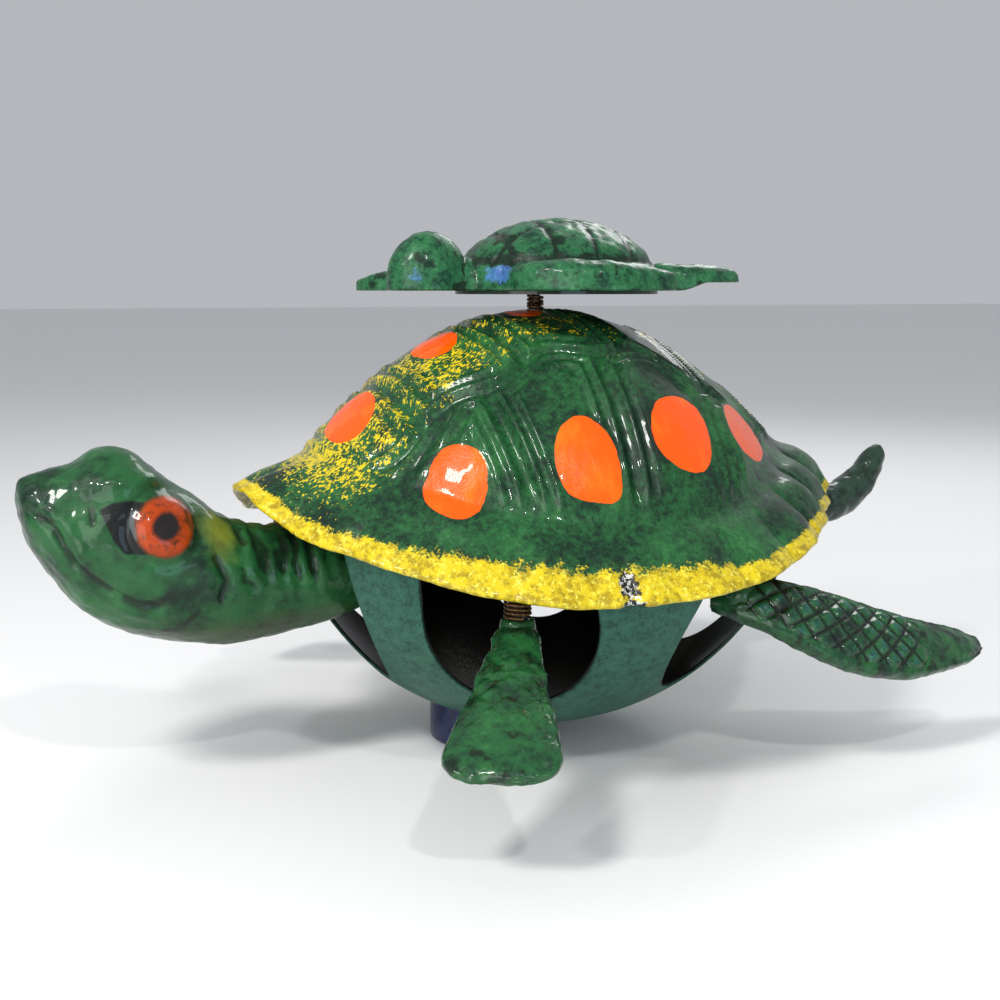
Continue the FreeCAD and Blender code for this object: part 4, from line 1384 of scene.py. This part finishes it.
class TURTLE_OT_shell(bpy.types.Operator):
    """Build the domed shell with its scutes, rails, spots and yellow edge"""

    bl_idname = "turtle.shell"
    bl_label = "Shell"

    def execute(self, context):
        sizes, colours = settings(context)
        dress(shell_object(sizes), shell_paint(colours), "root", "shell")
        return {"FINISHED"}


class TURTLE_OT_head(bpy.types.Operator):
    """Build the head and neck"""

    bl_idname = "turtle.head"
    bl_label = "Head"

    def execute(self, context):
        _, colours = settings(context)
        dress(with_pad("head", head_object()), head_paint(colours), "head", "head")
        return {"FINISHED"}


class TURTLE_OT_limbs(bpy.types.Operator):
    """Build the four flippers and the tail"""

    bl_idname = "turtle.limbs"
    bl_label = "Flippers and Tail"

    def execute(self, context):
        sizes, colours = settings(context)
        paint = scaly_paint(colours)
        for side in ("left", "right"):
            for end, flipper in (("front", front_flipper), ("rear", rear_flipper)):
                name = f"{side}_{end}_flipper"
                dress(flipper(side, sizes), paint, name, name)
        grey_green = plain_paint("tail_paint", linear(38, 60, 48), roughness=0.32, streak=0.45)
        dress(tail_object(), grey_green, "tail", "tail")
        return {"FINISHED"}


class TURTLE_OT_baby(bpy.types.Operator):
    """Build the baby turtle that rides on the shell"""

    bl_idname = "turtle.baby"
    bl_label = "Baby Turtle"

    def execute(self, context):
        _, colours = settings(context)
        dress(baby_object(), baby_paint(colours), "baby", "baby_turtle")
        return {"FINISHED"}


class TURTLE_OT_cradle(bpy.types.Operator):
    """Build the windowed bowl that carries the shell"""

    bl_idname = "turtle.cradle"
    bl_label = "Cradle"

    def execute(self, context):
        _, colours = settings(context)
        dress(cradle_object(), cradle_paint(colours), "root", *CRADLE_NODES)
        return {"FINISHED"}


class TURTLE_OT_springs(bpy.types.Operator):
    """Build the coil springs of the head, flippers, tail and baby turtle"""

    bl_idname = "turtle.springs"
    bl_label = "Springs"

    def execute(self, context):
        sizes, _ = settings(context)
        maker = (*coil_tree(), steel("spring_steel"))
        for limb in LIMBS:
            node = limb + "_spring"
            spring = coil_object(node, node, maker, sizes)
            low, _, high = spring_ends(node)
            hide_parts(node)
            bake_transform(spring)
        node = "baby_spring"
        low, middle, high = spring_ends(node)
        for half, part, bodies, ends in (
            ("_low", (0.0, BABY_SPRING_SPLIT), ("root", "baby_coil"), (low, middle)),
            ("_high", (BABY_SPRING_SPLIT, 1.0), ("baby_coil", "baby"), (middle, high)),
        ):
            spring = coil_object(node + half, node, maker, sizes, part)
            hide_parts(node)
            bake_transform(spring)
        return {"FINISHED"}


class TURTLE_OT_hardware(bpy.types.Operator):
    """Paint the foot, the baby's plate and the steel pins, studs and screws"""

    bl_idname = "turtle.hardware"
    bl_label = "Foot and Fixings"

    def execute(self, context):
        _, colours = settings(context)
        bare = steel("plain_steel")
        navy = plain_paint("foot_paint", tuple(colours.navy), roughness=0.18, streak=0.45)
        plate = plain_paint("plate_paint", tuple(colours.deep), roughness=0.35, streak=0.6)
        for name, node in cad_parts.items():
            if name == "foot":
                material = navy
            elif name == "baby_plate":
                material = plate
            elif name.endswith(("_pin", "_stud", "_screw")):
                material = bare
            else:
                continue
            node.data.materials.clear()
            node.data.materials.append(material)
        return {"FINISHED"}


class TURTLE_OT_stage(bpy.types.Operator):
    """Add the pale floor, the soft lights and the camera"""

    bl_idname = "turtle.stage"
    bl_label = "Floor, Lights and Camera"

    def execute(self, context):
        corners = [(a * FLOOR_HALF, b * FLOOR_HALF, 0) for a, b in ((-1, -1), (1, -1), (1, 1), (-1, 1))]
        floor = mesh_object("floor", corners, [(0, 1, 2, 3)])
        floor.data.materials.append(Paint("floor_paint").finish(linear(236, 236, 236), 0.6))
        world = bpy.data.worlds.new("studio")
        world.use_nodes = True
        background = world.node_tree.nodes["Background"].inputs
        background["Color"].default_value, background["Strength"].default_value = SKY, SKY_STRENGTH
        context.scene.world = world
        for name, at, size, power, tint in LIGHTS:
            light = bpy.data.lights.new(name, "AREA")
            light.energy, light.size, light.color = power, size, tint
            self.add_aimed(context, light, at, Vector(LIGHTS_AIM) - Vector(at))
        camera = bpy.data.cameras.new("camera")
        camera.lens, camera.clip_start = CAMERA_LENS, 0.01
        pitch = math.radians(CAMERA_PITCH)
        heading = Vector(CAMERA_HEADING).normalized() * math.cos(pitch) - Vector((0, 0, math.sin(pitch)))
        context.scene.camera = self.add_aimed(context, camera, CAMERA_PLACE, heading)
        context.scene.view_settings.view_transform = "Standard"
        return {"FINISHED"}

    def add_aimed(self, context, data, at, heading):
        """Puts a light or camera at a place, looking along a heading."""
        made = bpy.data.objects.new(data.name, data)
        made.location = at
        made.rotation_euler = heading.to_track_quat("-Z", "Y").to_euler()
        context.collection.objects.link(made)
        return made


class TURTLE_PT_panel(bpy.types.Panel):
    """The turtle's pieces, in the order they are built"""

    bl_label = "Garden Turtle"
    bl_idname = "TURTLE_PT_panel"
    bl_space_type = "VIEW_3D"
    bl_region_type = "UI"
    bl_category = "Turtle"

    def draw(self, context):
        for operator in OPERATORS:
            self.layout.operator(operator.bl_idname)
        for group in settings(context):
            box = self.layout.box()
            for name in group.bl_rna.properties.keys():
                if name not in {"rna_type", "name"}:
                    box.prop(group, name)


OPERATORS = (
    TURTLE_OT_stage,
    TURTLE_OT_shell,
    TURTLE_OT_head,
    TURTLE_OT_limbs,
    TURTLE_OT_baby,
    TURTLE_OT_cradle,
    TURTLE_OT_springs,
    TURTLE_OT_hardware,
)
CLASSES = (TurtleSizes, TurtleColours) + OPERATORS + (TURTLE_PT_panel,)


def register():
    for cls in CLASSES:
        bpy.utils.register_class(cls)
    bpy.types.Scene.turtle_sizes = bpy.props.PointerProperty(type=TurtleSizes)
    bpy.types.Scene.turtle_colours = bpy.props.PointerProperty(type=TurtleColours)


def unregister():
    del bpy.types.Scene.turtle_colours
    del bpy.types.Scene.turtle_sizes
    for cls in reversed(CLASSES):
        bpy.utils.unregister_class(cls)


def main():
    register()
    for operator in OPERATORS:
        group, name = operator.bl_idname.split(".")
        getattr(getattr(bpy.ops, group), name)()


if __name__ == "__main__":
    main()
